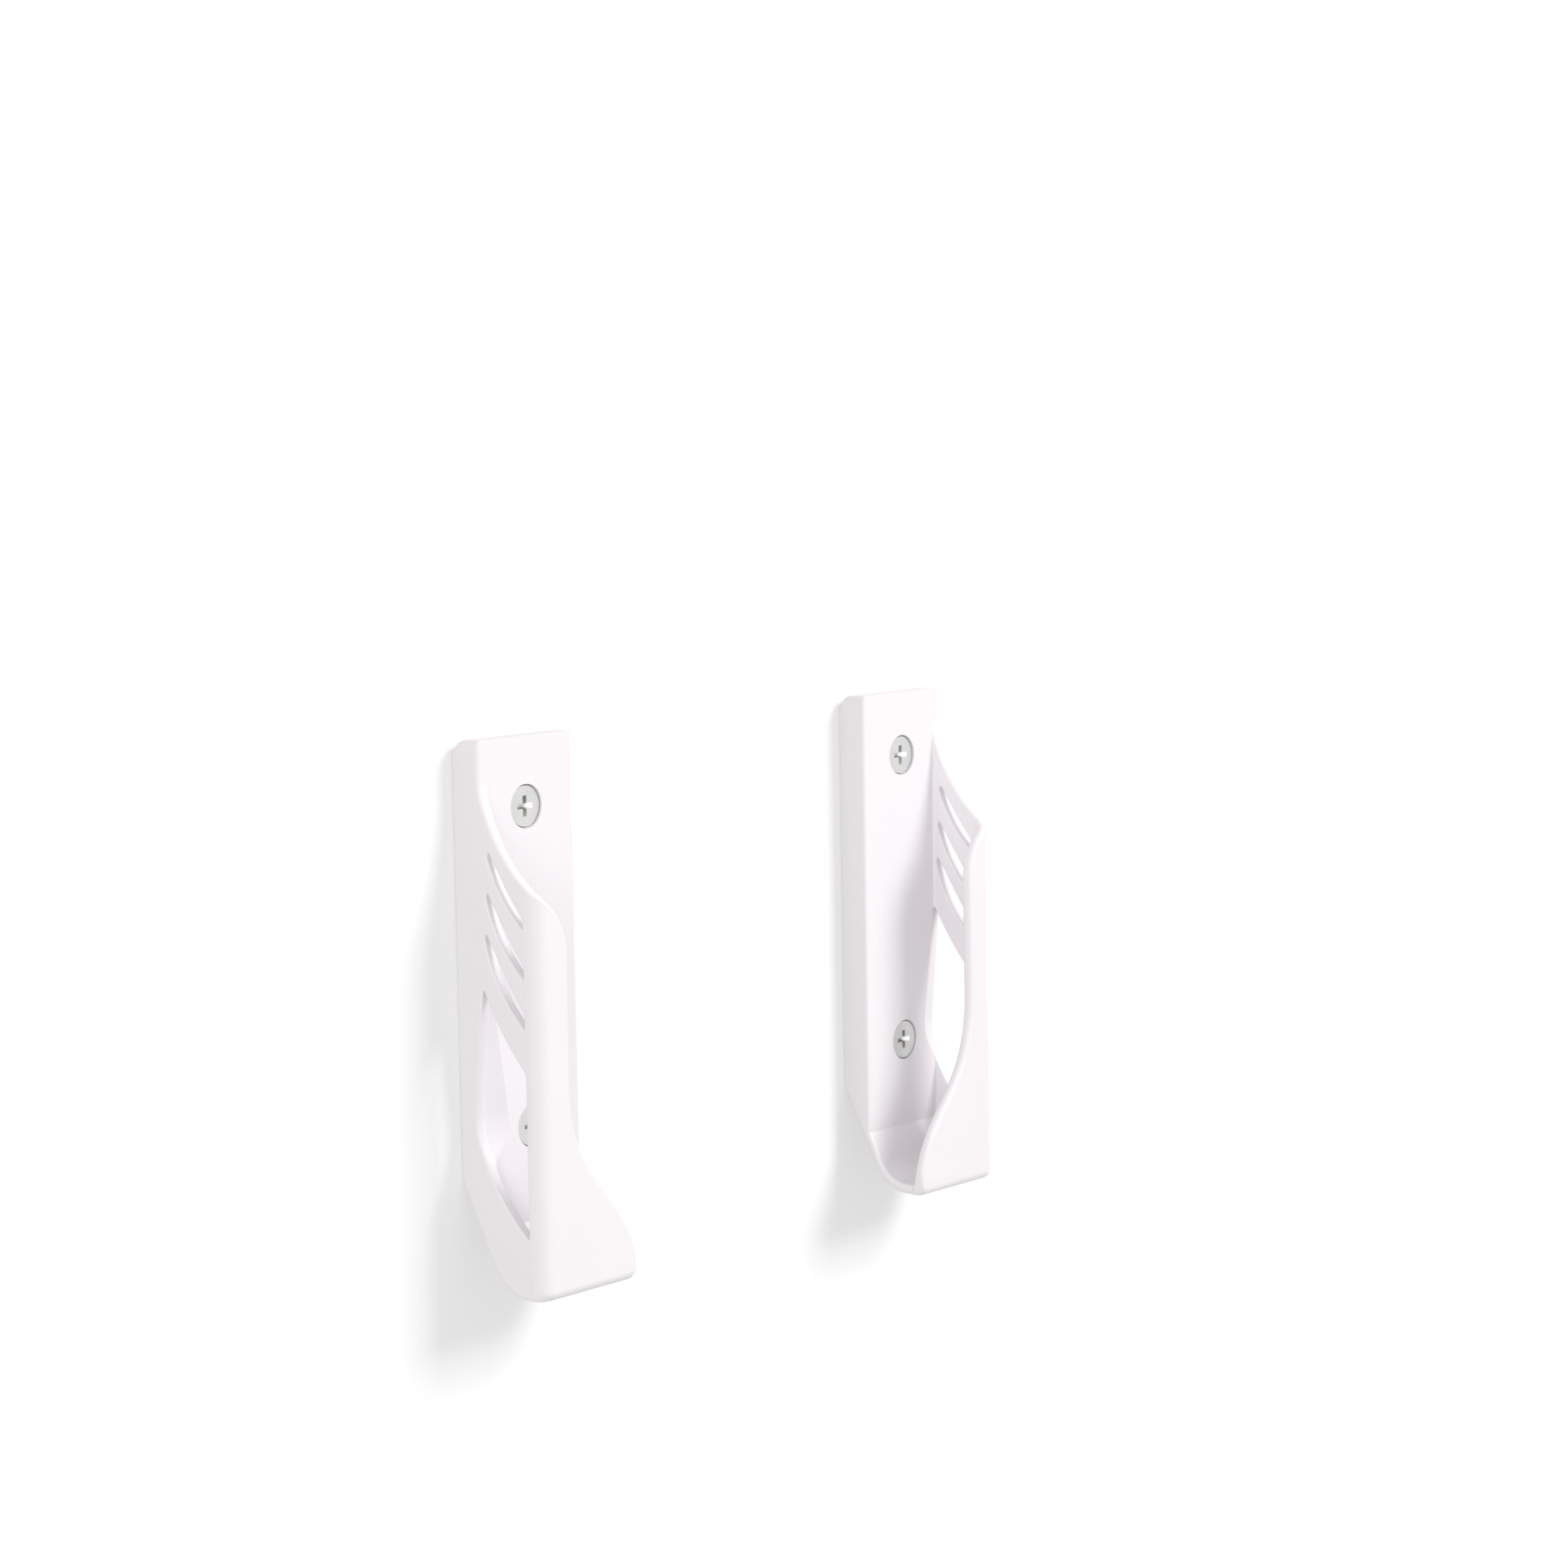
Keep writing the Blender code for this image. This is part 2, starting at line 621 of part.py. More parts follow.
def left_bracket():
    """The whole left moulding."""
    part = object_from("left_bracket", body_mesh(), WHITE_PLASTIC)
    scoop_end = WALL + (PLATE_DEPTH + INNER_RADIUS - WINDOW_REAR_OUT) / tan(radians(SCOOP_SLOPE_DEG))
    cut(part, [cavity_mesh(), rim_cutter(), side_cutter(window_outline(), scoop_end)])
    cut(part, [side_cutter(slot_outline(index)) for index in range(SLOT_COUNT)])
    cut(part, [pocket_cutter()])
    cut(part, [screw_post(LOW_POST_HEIGHT), screw_post(HIGH_POST_HEIGHT)], "UNION")
    cut(part, [screw_hole(LOW_POST_HEIGHT), screw_hole(HIGH_POST_HEIGHT)])
    weld(part)
    return part


def left_strip():
    """Foam strip in the hollow, between the posts."""
    low = LOW_POST_HEIGHT + POST_RADIUS + STRIP_TO_POST
    high = HIGH_POST_HEIGHT - POST_RADIUS - STRIP_TO_POST
    start = POCKET_OUTER_WALL + STRIP_SIDE_GAP
    end = WIDTH - POCKET_INNER_WALL - STRIP_SIDE_GAP
    corners = [(start, high), (end, high), (end, low), (start, low)]
    outline = round_corners(corners, [STRIP_CORNER_RADIUS] * 4, [ROUND_STEPS] * 4)
    return object_from("left_adhesive_strip", prism(outline, 0, PLATE_SKIN_BACK - SEAT_GAP), FOAM)


def screw(name, height):
    """Countersunk screw with a cross recess."""
    head_face = PLATE_DEPTH - SCREW_SINK
    cone_top = head_face - SCREW_HEAD_EDGE
    neck = cone_top - (SCREW_HEAD_RADIUS - SCREW_RADIUS)
    end = head_face - SCREW_LENGTH
    profile = [(0, head_face), (SCREW_HEAD_RADIUS, head_face), (SCREW_HEAD_RADIUS, cone_top),
               (SCREW_RADIUS, neck), (SCREW_RADIUS, end + SCREW_POINT_LENGTH), (0, end)]
    part = object_from(name, turned(profile, height, FIXING_SEGMENTS), STEEL)
    for wide, tall in ((RECESS_SPAN, RECESS_WIDTH), (RECESS_WIDTH, RECESS_SPAN)):
        ends = []
        for out, share in ((head_face, 1.0), (head_face - RECESS_DEPTH, RECESS_TAPER)):
            ends.append([left_point(POST_ACROSS + x * wide * share / 2, out, height + z * tall * share / 2)
                         for x, z in ((-1, -1), (1, -1), (1, 1), (-1, 1))])
        above = [point + Vector((0, -RECESS_DEPTH, 0)) for point in ends[0]]
        cut(part, [mesh_from([above] + ends)])
    return part


def wall_plug(name, height):
    """Ribbed plug in the wall, split along its far half."""
    bore = SCREW_RADIUS + SEAT_GAP
    collar_end = -SEAT_GAP - PLUG_COLLAR_THICKNESS
    tip = -SEAT_GAP - PLUG_LENGTH
    profile = [(bore, -SEAT_GAP), (PLUG_COLLAR_RADIUS, -SEAT_GAP), (PLUG_COLLAR_RADIUS, collar_end),
               (PLUG_RADIUS - PLUG_BARB_DEPTH, collar_end)]
    pitch = (collar_end - tip - PLUG_TIP_LENGTH) / PLUG_BARB_COUNT
    for k in range(PLUG_BARB_COUNT):
        start = collar_end - pitch * (k + PLUG_BARB_RISE_SHARE)
        finish = collar_end - pitch * (k + 1)
        profile += [(PLUG_RADIUS, start), (PLUG_RADIUS - PLUG_BARB_DEPTH, finish)]
    profile += [(bore + PLUG_BARB_DEPTH, tip), (bore, tip)]
    part = object_from(name, turned(profile, height, FIXING_SEGMENTS), NYLON)
    half = PLUG_SPLIT_WIDTH / 2
    wide = 2 * PLUG_RADIUS
    outline = [(POST_ACROSS - wide, height - half), (POST_ACROSS + wide, height - half),
               (POST_ACROSS + wide, height + half), (POST_ACROSS - wide, height + half)]
    cut(part, [prism(outline, tip - WALL, -PLUG_SPLIT_START)])
    return part


def mirrored(part, name):
    """The same piece on the other side of the device."""
    mesh = part.data.copy()
    mesh.transform(Matrix.Scale(-1, 4, Vector((1, 0, 0))))
    mesh.flip_normals()
    return object_from(name, mesh, part.data.materials[0])


left_pieces = [left_bracket(), left_strip()]
for end_name, end_height in (("top", HIGH_POST_HEIGHT), ("bottom", LOW_POST_HEIGHT)):
    left_pieces.append(screw("screw_left_" + end_name, end_height))
    left_pieces.append(wall_plug("wall_plug_left_" + end_name, end_height))
pieces = left_pieces + [mirrored(piece, piece.name.replace("left", "right")) for piece in left_pieces]
for piece in pieces:
    piece.data.shade_smooth()
    piece.data.set_sharp_from_angle(angle=radians(SHARP_FROM_DEG))
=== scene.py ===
# %% [markdown]
# # A pair of moulded corner brackets for a wall
# The measured model has twelve pieces: two mirrored plastic brackets, two foam strips, four
# screws and four wall plugs. This lesson loads it, makes a finer piece for each of them in the same
# place, gives every piece a finish made of nodes, and sets up the wall, the lamps and the camera.

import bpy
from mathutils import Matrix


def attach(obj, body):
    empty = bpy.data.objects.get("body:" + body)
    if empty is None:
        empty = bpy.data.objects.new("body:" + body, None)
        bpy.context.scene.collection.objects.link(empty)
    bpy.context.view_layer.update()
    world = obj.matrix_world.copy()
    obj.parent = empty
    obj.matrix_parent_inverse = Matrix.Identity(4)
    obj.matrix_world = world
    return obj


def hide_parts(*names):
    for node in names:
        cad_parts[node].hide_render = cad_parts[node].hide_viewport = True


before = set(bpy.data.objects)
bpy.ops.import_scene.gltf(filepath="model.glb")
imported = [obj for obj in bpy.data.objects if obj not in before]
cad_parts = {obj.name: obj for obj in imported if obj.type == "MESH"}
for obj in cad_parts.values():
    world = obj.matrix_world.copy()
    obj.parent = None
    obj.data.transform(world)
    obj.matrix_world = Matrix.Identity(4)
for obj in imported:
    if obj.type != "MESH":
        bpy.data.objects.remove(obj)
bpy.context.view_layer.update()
print("measured pieces:", len(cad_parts))

# %% [markdown]
# The measured model is in metres, with X to the right, Y into the wall and Z up. The wall is the
# plane Y = 0 and the middle of the pair is X = 0. Small things are easier to read in millimetres,
# so every length of a piece is a number times MM. Only the wall and the lamps are given in metres.

# %% Tools and the unit
from math import acos, cos, hypot, pi, radians, sin, sqrt, tan

import bmesh
import bpy
from mathutils import Matrix, Vector
from mathutils.geometry import interpolate_bezier

MM = 0.001

# %% [markdown]
# ## The camera
# A picture from close by with a long lens has its own perspective, so the camera's place matters as
# much as its direction. It stands two thirds of a metre away, on the left and a little above the
# brackets, and leans sideways by less than a degree. The small shift slides the picture on the film
# without turning the camera, which brings the brackets to their place in the frame.

# %% Camera
CAMERA_PLACE = Vector((-502.562, -440.361, 150.741)) * MM
CAMERA_TURN_DEG = (83.852, 0.887, -50.174)
CAMERA_LENS_MM = 85.36
FILM_WIDTH_MM = 36.0
CAMERA_SHIFT_RIGHT = -0.0003
CAMERA_SHIFT_UP = 0.0061
CAMERA_NEAREST = 10 * MM

camera = bpy.data.objects.new("camera", bpy.data.cameras.new("camera"))
camera.location = CAMERA_PLACE
camera.rotation_euler = [radians(angle) for angle in CAMERA_TURN_DEG]
camera.data.lens = CAMERA_LENS_MM
camera.data.sensor_width = FILM_WIDTH_MM
camera.data.shift_x = CAMERA_SHIFT_RIGHT
camera.data.shift_y = CAMERA_SHIFT_UP
camera.data.clip_start = CAMERA_NEAREST
bpy.context.collection.objects.link(camera)
bpy.context.scene.camera = camera
print("camera to wall in mm:", round(-camera.location.y / MM))

# %% [markdown]
# ## Shader maths
# A finish is a small graph of nodes. Long graphs are hard to read as code, so a signal wraps one
# output socket and understands + and *, and a graph adds any other node with one method.

# %% Signals and graphs
class Signal:
    """An output socket of a node. Adding or multiplying signals adds Math nodes."""

    def __init__(self, graph, socket):
        self.graph = graph
        self.socket = socket

    def math(self, operation, other):
        return self.graph.node("ShaderNodeMath", {"operation": operation}, {0: self, 1: other})

    def __add__(self, other):
        return self.math("ADD", other)

    def __mul__(self, other):
        return self.math("MULTIPLY", other)

    __radd__ = __add__
    __rmul__ = __mul__


class Graph:
    """A node tree, with one way to add a node and one to feed a socket."""

    def __init__(self, tree):
        self.tree = tree

    def feed(self, value, socket):
        """Links a signal to a socket, or sets the socket to a plain value."""
        if isinstance(value, Signal):
            self.tree.links.new(value.socket, socket)
        else:
            socket.default_value = value

    def node(self, kind, settings, inputs, output=0):
        """Adds a node: its settings first, then the values or links of its sockets."""
        node = self.tree.nodes.new(kind)
        for name, value in settings.items():
            setattr(node, name, value)
        for socket, value in inputs.items():
            self.feed(value, node.inputs[socket])
        return Signal(self, node.outputs[output])


print("operations on signals: + and *")

# %% [markdown]
# Each finish is a graph that ends in Blender's general-purpose shader. What is the same all over a
# surface is set on the shader itself, and what varies is fed to it by a few methods that every
# finish below uses. A Mix node has a set of sockets for each kind of data, so those for colours are
# named here by their numbers.

# %% Finishes
BROAD_DETAIL = 2.0
FINE_DETAIL = 3.0
MIX_SHARE, MIX_FIRST, MIX_SECOND, MIX_RESULT = 0, 6, 7, 2


class Finish(Graph):
    """A material for the pieces of one slot."""

    def __init__(self, name, slot, **constants):
        self.slot = slot
        self.material = bpy.data.materials.new(name)
        self.material.use_nodes = True
        super().__init__(self.material.node_tree)
        self.shader = self.tree.nodes["Principled BSDF"]
        for socket, value in constants.items():
            self.feed(value, self.shader.inputs[socket.replace("_", " ")])

    def place(self):
        """Where a point of the surface is, in metres."""
        return self.node("ShaderNodeTexCoord", {}, {}, "Object")

    def noise(self, size, detail=BROAD_DETAIL):
        """Soft lumps of about this size, from 0 to 1."""
        return self.node("ShaderNodeTexNoise", {},
                         {"Vector": self.place(), "Scale": 1 / size, "Detail": detail})

    def blend(self, share, first, second):
        """A colour between two colours."""
        colours = {MIX_SHARE: share, MIX_FIRST: (*first, 1), MIX_SECOND: (*second, 1)}
        return self.node("ShaderNodeMix", {"data_type": "RGBA"}, colours, MIX_RESULT)

    def bump(self, height, depth, strength=1.0):
        """Bends the light as if the surface rose by height times depth."""
        normal = self.node("ShaderNodeBump", {},
                           {"Strength": strength, "Distance": depth, "Height": height})
        self.feed(normal, self.shader.inputs["Normal"])

    def paint(self, colour, roughness):
        """Feeds the two inputs that vary on every finish."""
        self.feed(colour, self.shader.inputs["Base Color"])
        self.feed(roughness, self.shader.inputs["Roughness"])


print("fine detail:", FINE_DETAIL, "octaves of noise")

# %% [markdown]
# ## Satin white plastic
# The brackets are injection moulded. The mould is eroded with sparks, which leaves a grain less
# than half a millimetre across. It only shows from close by, but it spreads the highlights
# everywhere. The melt leaves faint clouds where it cooled. So the colour hardly varies, the
# roughness varies a little more, and the bump is a few hundredths of a millimetre deep.

# %% Plastic finish
PLASTIC_LIGHT = (0.850, 0.820, 0.840)
PLASTIC_CLOUD = (0.828, 0.796, 0.818)
CLOUD_SIZE = 14 * MM
GRAIN_SIZE = 0.4 * MM
GRAIN_DEPTH = 0.03 * MM
PLASTIC_ROUGHNESS = 0.34
CLOUD_ROUGHNESS = 0.06
GRAIN_ROUGHNESS = 0.08

plastic = Finish("satin_white_plastic", "bracket_plastic", IOR=1.53)
clouds = plastic.noise(CLOUD_SIZE)
grain = plastic.noise(GRAIN_SIZE, FINE_DETAIL)
plastic.paint(plastic.blend(clouds, PLASTIC_LIGHT, PLASTIC_CLOUD),
              PLASTIC_ROUGHNESS + clouds * CLOUD_ROUGHNESS + grain * GRAIN_ROUGHNESS)
plastic.bump(grain, GRAIN_DEPTH)
print("finish:", plastic.material.name)

# %% [markdown]
# ## Foam tape
# Each bracket sits on a strip of closed-cell foam. Its skin shows the cells as small dimples with
# thin, paler walls, which is what a Voronoi texture looks like.

# %% Foam finish
FOAM_PALE = (0.66, 0.66, 0.64)
FOAM_DEEP = (0.52, 0.52, 0.50)
CELL_SIZE = 0.45 * MM
CELL_DEPTH = 0.08 * MM
FOAM_ROUGHNESS = 0.85
CELL_ROUGHNESS = 0.1

foam = Finish("foam_tape", "foam", IOR=1.4)
cells = foam.node("ShaderNodeTexVoronoi", {}, {"Vector": foam.place(), "Scale": 1 / CELL_SIZE})
foam.paint(foam.blend(cells, FOAM_DEEP, FOAM_PALE), FOAM_ROUGHNESS + cells * CELL_ROUGHNESS)
foam.bump(cells, CELL_DEPTH)
print("finish:", foam.material.name)

# %% [markdown]
# ## Zinc plated steel
# The screws are bright zinc over steel. The head is turned, so fine rings run round its axis. Every
# screw has its own axis, so its points carry their place measured from it, and the rings come from
# the distance to the axis. Plating also has a faint straw to blue tint in patches.

# %% Zinc finish
ZINC_BLUE = (0.66, 0.68, 0.71)
ZINC_STRAW = (0.73, 0.71, 0.66)
TINT_SIZE = 2.5 * MM
RING_PITCH = 0.12 * MM
RING_DEPTH = 0.004 * MM
RING_STRENGTH = 0.6
ZINC_ROUGHNESS = 0.24
TINT_ROUGHNESS = 0.14
RING_ROUGHNESS = 0.02
FROM_AXIS = "from_axis"

zinc = Finish("zinc_plated_steel", "screw_steel", Metallic=1.0)
from_axis = zinc.node("ShaderNodeAttribute", {"attribute_name": FROM_AXIS}, {}, "Vector")
radius = zinc.node("ShaderNodeVectorMath", {"operation": "LENGTH"}, {0: from_axis}, "Value")
rings = zinc.node("ShaderNodeMath", {"operation": "SINE"}, {0: radius * (2 * pi / RING_PITCH)})
patches = zinc.noise(TINT_SIZE)
zinc.paint(zinc.blend(patches, ZINC_BLUE, ZINC_STRAW),
           ZINC_ROUGHNESS + patches * TINT_ROUGHNESS + rings * RING_ROUGHNESS)
zinc.bump(rings, RING_DEPTH, RING_STRENGTH)
print("finish:", zinc.material.name)

# %% [markdown]
# ## Grey nylon
# Wall plugs are nylon: a little waxy, with a matt, slightly blotchy skin.

# %% Nylon finish
NYLON_PALE = (0.47, 0.48, 0.50)
NYLON_DEEP = (0.41, 0.42, 0.44)
BLOTCH_SIZE = 3 * MM
SKIN_SIZE = 0.3 * MM
SKIN_DEPTH = 0.015 * MM
NYLON_ROUGHNESS = 0.42
BLOTCH_ROUGHNESS = 0.1
SKIN_ROUGHNESS = 0.1

nylon = Finish("grey_nylon", "plug_nylon", IOR=1.53)
blotches = nylon.noise(BLOTCH_SIZE)
skin = nylon.noise(SKIN_SIZE, FINE_DETAIL)
nylon.paint(nylon.blend(blotches, NYLON_PALE, NYLON_DEEP),
            NYLON_ROUGHNESS + blotches * BLOTCH_ROUGHNESS + skin * SKIN_ROUGHNESS)
nylon.bump(skin, SKIN_DEPTH)
print("finish:", nylon.material.name)

# %% [markdown]
# ## Sizes of a bracket
# A point of the left bracket is written (across, out, up): across runs inward from its outer face,
# out runs from the wall into the room, up is the height. The right bracket is its mirror image.
# These are the measured model's own sizes. Only the number of steps in each curve is larger here,
# which is what makes the edges look smooth.

# %% Overall sizes
HALF_SPAN = 63.0 * MM
HEIGHT = 94.0 * MM
WIDTH = 23.0 * MM
DEPTH = 18.8 * MM
WALL = 2.0 * MM
PLATE_DEPTH = 6.0 * MM
CORNER_RADIUS = 3.0 * MM
TOP_RADIUS = 3.0 * MM
SIDE_EDGE_RADIUS = 0.9 * MM
END_EDGE_RADIUS = 0.6 * MM
FOOT_END_RADIUS = 1.2 * MM
WALL_EDGE_RADIUS = 0.4 * MM
INNER_RADIUS = 0.5 * MM
LEAST_RADIUS = 0.1 * MM
CORNER_STEPS = 14
EDGE_STEPS = 7
ROUND_STEPS = 10


def left_point(across, out, up):
    """World place of a point of the left bracket."""
    return Vector((across - HALF_SPAN, -out, up))


outer_corner = left_point(0, 0, 0)
print("left bracket's outer corner in mm:", [round(value / MM, 1) for value in outer_corner])

# %% [markdown]
# ## From outlines to solids
# Every solid here is a row of outlines with the same number of points, joined by faces and closed
# at both ends. Roundings come from the outlines themselves: near an edge each outline is drawn a
# little smaller, following a quarter circle. A modifier could round the edges too, but it would
# lose its way where a curved rim meets a curved corner.

# %% Solid through outlines
def mesh_of(bm):
    """Mesh of the faces collected in bm, all of them pointing out."""
    bmesh.ops.recalc_face_normals(bm, faces=bm.faces)
    mesh = bpy.data.meshes.new("shape")
    bm.to_mesh(mesh)
    bm.free()
    return mesh


def mesh_from(outlines, caps=None):
    """Closed mesh through outlines with equal point counts. caps lists the faces of each end."""
    bm = bmesh.new()
    rows = [[bm.verts.new(point) for point in outline] for outline in outlines]
    count = len(rows[0])
    for low, high in zip(rows, rows[1:]):
        for i in range(count):
            j = (i + 1) % count
            bm.faces.new((low[i], low[j], high[j], high[i]))
    for row in (rows[0], rows[-1]):
        for face in caps or [range(count)]:
            bm.faces.new([row[i] for i in face])
    return mesh_of(bm)


def quarter_turn(steps):
    """Angles from 0 to a right angle in equal steps."""
    return [pi / 2 * k / steps for k in range(steps + 1)]


def edge_inset(distance, radius):
    """How far a face stands back at this distance from an end whose edge has this radius."""
    if distance >= radius:
        return 0.0
    return radius - sqrt(radius * radius - (radius - distance) ** 2)


print("a 1 mm edge stands back by", round(edge_inset(0.3, 1.0), 2), "mm, 0.3 mm from its end")

# %% [markdown]
# An outline comes from its corners in two steps. First each edge moves inward by its own inset,
# then each corner gives way to an arc. Where an edge is too short for the two arcs on it, both
# shrink.

# %% Moving and rounding an outline
ARC_SHARE_OF_EDGE = 0.96


def inset_corners(corners, insets):
    """Corners of a convex outline after each edge, from corner i to i+1, moves inward."""
    lines = []
    count = len(corners)
    for i in range(count):
        start = Vector(corners[i])
        run = (Vector(corners[(i + 1) % count]) - start).normalized()
        lines.append((start + Vector((run.y, -run.x)) * insets[i], run))
    moved = []
    for i in range(count):
        (a, p), (b, q) = lines[i - 1], lines[i]
        t = ((b.x - a.x) * q.y - (b.y - a.y) * q.x) / (p.x * q.y - p.y * q.x)
        moved.append(a + p * t)
    return moved


def round_corners(corners, radii, steps):
    """Outline with each corner replaced by an arc, shrunk where an edge is too short for it."""
    count = len(corners)
    corners = [Vector(corner) for corner in corners]
    halves = [(corners[i - 1] - corners[i]).angle(corners[(i + 1) % count] - corners[i]) / 2
              for i in range(count)]
    reach = [max(radii[i], LEAST_RADIUS) / tan(halves[i]) for i in range(count)]
    room = [1.0] * count
    for i in range(count):
        j = (i + 1) % count
        share = (corners[j] - corners[i]).length * ARC_SHARE_OF_EDGE / (reach[i] + reach[j])
        room[i] = min(room[i], share)
        room[j] = min(room[j], share)
    outline = []
    for i in range(count):
        before = (corners[i - 1] - corners[i]).normalized()
        after = (corners[(i + 1) % count] - corners[i]).normalized()
        tangent = reach[i] * room[i]
        centre = corners[i] + (before + after).normalized() * tangent / cos(halves[i])
        start = corners[i] + before * tangent - centre
        turn = 1 if before.x * after.y - before.y * after.x < 0 else -1
        for k in range(steps[i] + 1):
            angle = turn * (pi - 2 * halves[i]) * k / steps[i]
            outline.append(centre + Matrix.Rotation(angle, 2) @ start)
    return outline


square = round_corners([(0, 1), (1, 1), (1, 0), (0, 0)], [0.2] * 4, [ROUND_STEPS] * 4)
print("a rounded square has", len(square), "points")

# %% [markdown]
# ## The bracket's outer form
# Seen from the side the bracket is a tall bar with a slanted foot. That outline is drawn at many
# places across the bracket, closer together near both ends, where the edges and the large front
# corner are round.

# %% Body
HEEL_HEIGHT = 18.2 * MM
SOLE_START = 9.3 * MM
HEEL_RADIUS = 4.0 * MM
SOLE_RADIUS = 9.0 * MM
TOE_RADIUS = 1.8 * MM
SOLE_STEPS = 20


def body_section(across):
    """Side outline of the solid body, as (out, up), at one place across."""
    side = edge_inset(across, SIDE_EDGE_RADIUS)
    end = edge_inset(WIDTH - across, END_EDGE_RADIUS)
    front = edge_inset(across, CORNER_RADIUS) + end
    rear = edge_inset(across, WALL_EDGE_RADIUS) + edge_inset(WIDTH - across, WALL_EDGE_RADIUS)
    under = side + edge_inset(WIDTH - across, FOOT_END_RADIUS)
    corners = [(0, HEIGHT), (DEPTH, HEIGHT), (DEPTH, 0), (SOLE_START, 0), (0, HEEL_HEIGHT)]
    insets = [side + end, front, under, under, rear]
    radii = [TOP_RADIUS - side, INNER_RADIUS, TOE_RADIUS - side,
             SOLE_RADIUS - under, HEEL_RADIUS - under]
    steps = [ROUND_STEPS, 1, ROUND_STEPS, SOLE_STEPS, ROUND_STEPS]
    return round_corners(inset_corners(corners, insets), radii, steps)


def body_mesh():
    """Solid block with the bracket's outer form."""
    places = [CORNER_RADIUS * (1 - cos(turn)) for turn in quarter_turn(CORNER_STEPS)]
    places += [SIDE_EDGE_RADIUS * (1 - cos(turn)) for turn in quarter_turn(EDGE_STEPS)[1:-1]]
    places += [WIDTH - FOOT_END_RADIUS * (1 - cos(turn)) for turn in quarter_turn(EDGE_STEPS)]
    return mesh_from([[left_point(across, out, up) for out, up in body_section(across)]
                      for across in sorted(places)])


print("body outline points:", len(body_section(WIDTH / 2)))

# %% [markdown]
# Behind the lip is a channel, which is what the brackets are for. It is one more solid, cut out of
# the body: it follows the foot's slope, leaves the wall's thickness all round, and flares by a
# rounded edge where it opens towards the other bracket.

# %% Channel
SLOPE = acos(SOLE_START / hypot(SOLE_START, HEEL_HEIGHT))
LIP_BACK = DEPTH - WALL


def channel_mesh():
    """The hollow behind the lip, open at the top and towards the other bracket."""
    rise = WALL / cos(SLOPE)
    heel_up = HEEL_HEIGHT + rise - PLATE_DEPTH * tan(SLOPE)
    sole_out = (HEEL_HEIGHT + rise - WALL) / tan(SLOPE)
    above = HEIGHT + WALL
    corners = [(PLATE_DEPTH, above), (LIP_BACK, above), (LIP_BACK, WALL),
               (sole_out, WALL), (PLATE_DEPTH, heel_up)]
    inner_corner = CORNER_RADIUS - WALL
    sections = []
    for turn in quarter_turn(EDGE_STEPS):
        start = inner_corner * (1 - cos(turn))
        low = edge_inset(start, INNER_RADIUS)
        sections.append((WALL + start, [0.0, edge_inset(start, inner_corner), low, low, low]))
    for turn in quarter_turn(EDGE_STEPS):
        length = END_EDGE_RADIUS * sin(turn)
        grow = -edge_inset(END_EDGE_RADIUS - length, END_EDGE_RADIUS)
        sections.append((WIDTH - END_EDGE_RADIUS + length, [0.0, 0.0, grow, grow, grow]))
    sections.append((WIDTH + WALL, [0.0, 0.0, grow, grow, grow]))
    radii = [INNER_RADIUS, INNER_RADIUS, INNER_RADIUS, SOLE_RADIUS - WALL, INNER_RADIUS]
    steps = [1, 1, 1, SOLE_STEPS, EDGE_STEPS]
    outlines = []
    for across, insets in sections:
        outline = round_corners(inset_corners(corners, insets), radii, steps)
        outlines.append([left_point(across, out, up) for out, up in outline])
    return mesh_from(outlines)


print("channel depth in mm:", round((LIP_BACK - PLATE_DEPTH) / MM, 1))

# %% [markdown]
# ## The rim
# The rim is the line that gives the bracket its look: it falls from the top of the side wall,
# swings round the front corner and sweeps down the lip to the foot. It is easiest to draw on
# paper: unroll the outer face, draw three smooth curves with handles, and fold the paper back
# round the corner. along is the distance over the face from the wall.

# %% Folding round the corner
ARC_START = DEPTH - CORNER_RADIUS
ARC_END = ARC_START + CORNER_RADIUS * pi / 2


def unrolled_across(across):
    """Distance over the outer face from the wall to a place on the lip."""
    return ARC_END + across - CORNER_RADIUS


def rolled(along, deep, up):
    """Folds a point of the unrolled face round the corner. deep runs into the wall's thickness."""
    if along <= ARC_START:
        return left_point(deep, along, up)
    if along >= ARC_END:
        return left_point(along - ARC_END + CORNER_RADIUS, DEPTH - deep, up)
    angle = (along - ARC_START) / CORNER_RADIUS
    radius = CORNER_RADIUS - deep
    return left_point(CORNER_RADIUS - radius * cos(angle), ARC_START + radius * sin(angle), up)


print("unrolled width in mm:", round(unrolled_across(WIDTH) / MM, 1))

# %% Rim curve
RIM_BEND_HEIGHT = 86.9 * MM
RIM_BEND_HANDLE = 2.4 * MM
SHOULDER_PAST_CORNER = 0.1 * MM
SHOULDER_HEIGHT = 70.3 * MM
SHOULDER_SLOPE = radians(38.2)
SHOULDER_HANDLE_SIDE = 8.3 * MM
SHOULDER_HANDLE_LIP = 0.8 * MM
LIP_TOP_HEIGHT = 58.0 * MM
LIP_TOP_HANDLE = 8.9 * MM
LIP_WIDTH = 7.6 * MM
LIP_SWEEP_HEIGHT = 36.7 * MM
LIP_DRAFT = -0.2 * MM
LIP_SWEEP_HANDLE = 21.2 * MM
LIP_END_HANDLE = 19.5 * MM
LIP_END_OVERRUN = 0.75 * MM
RIM_STEPS = 36


def curve(start, start_handle, end_handle, end):
    """Points of a cubic curve in two dimensions, its end left out."""
    knots = [Vector((x, y, 0)) for x, y in (start, start_handle, end_handle, end)]
    return [point.xy for point in interpolate_bezier(*knots, RIM_STEPS + 1)][:-1]


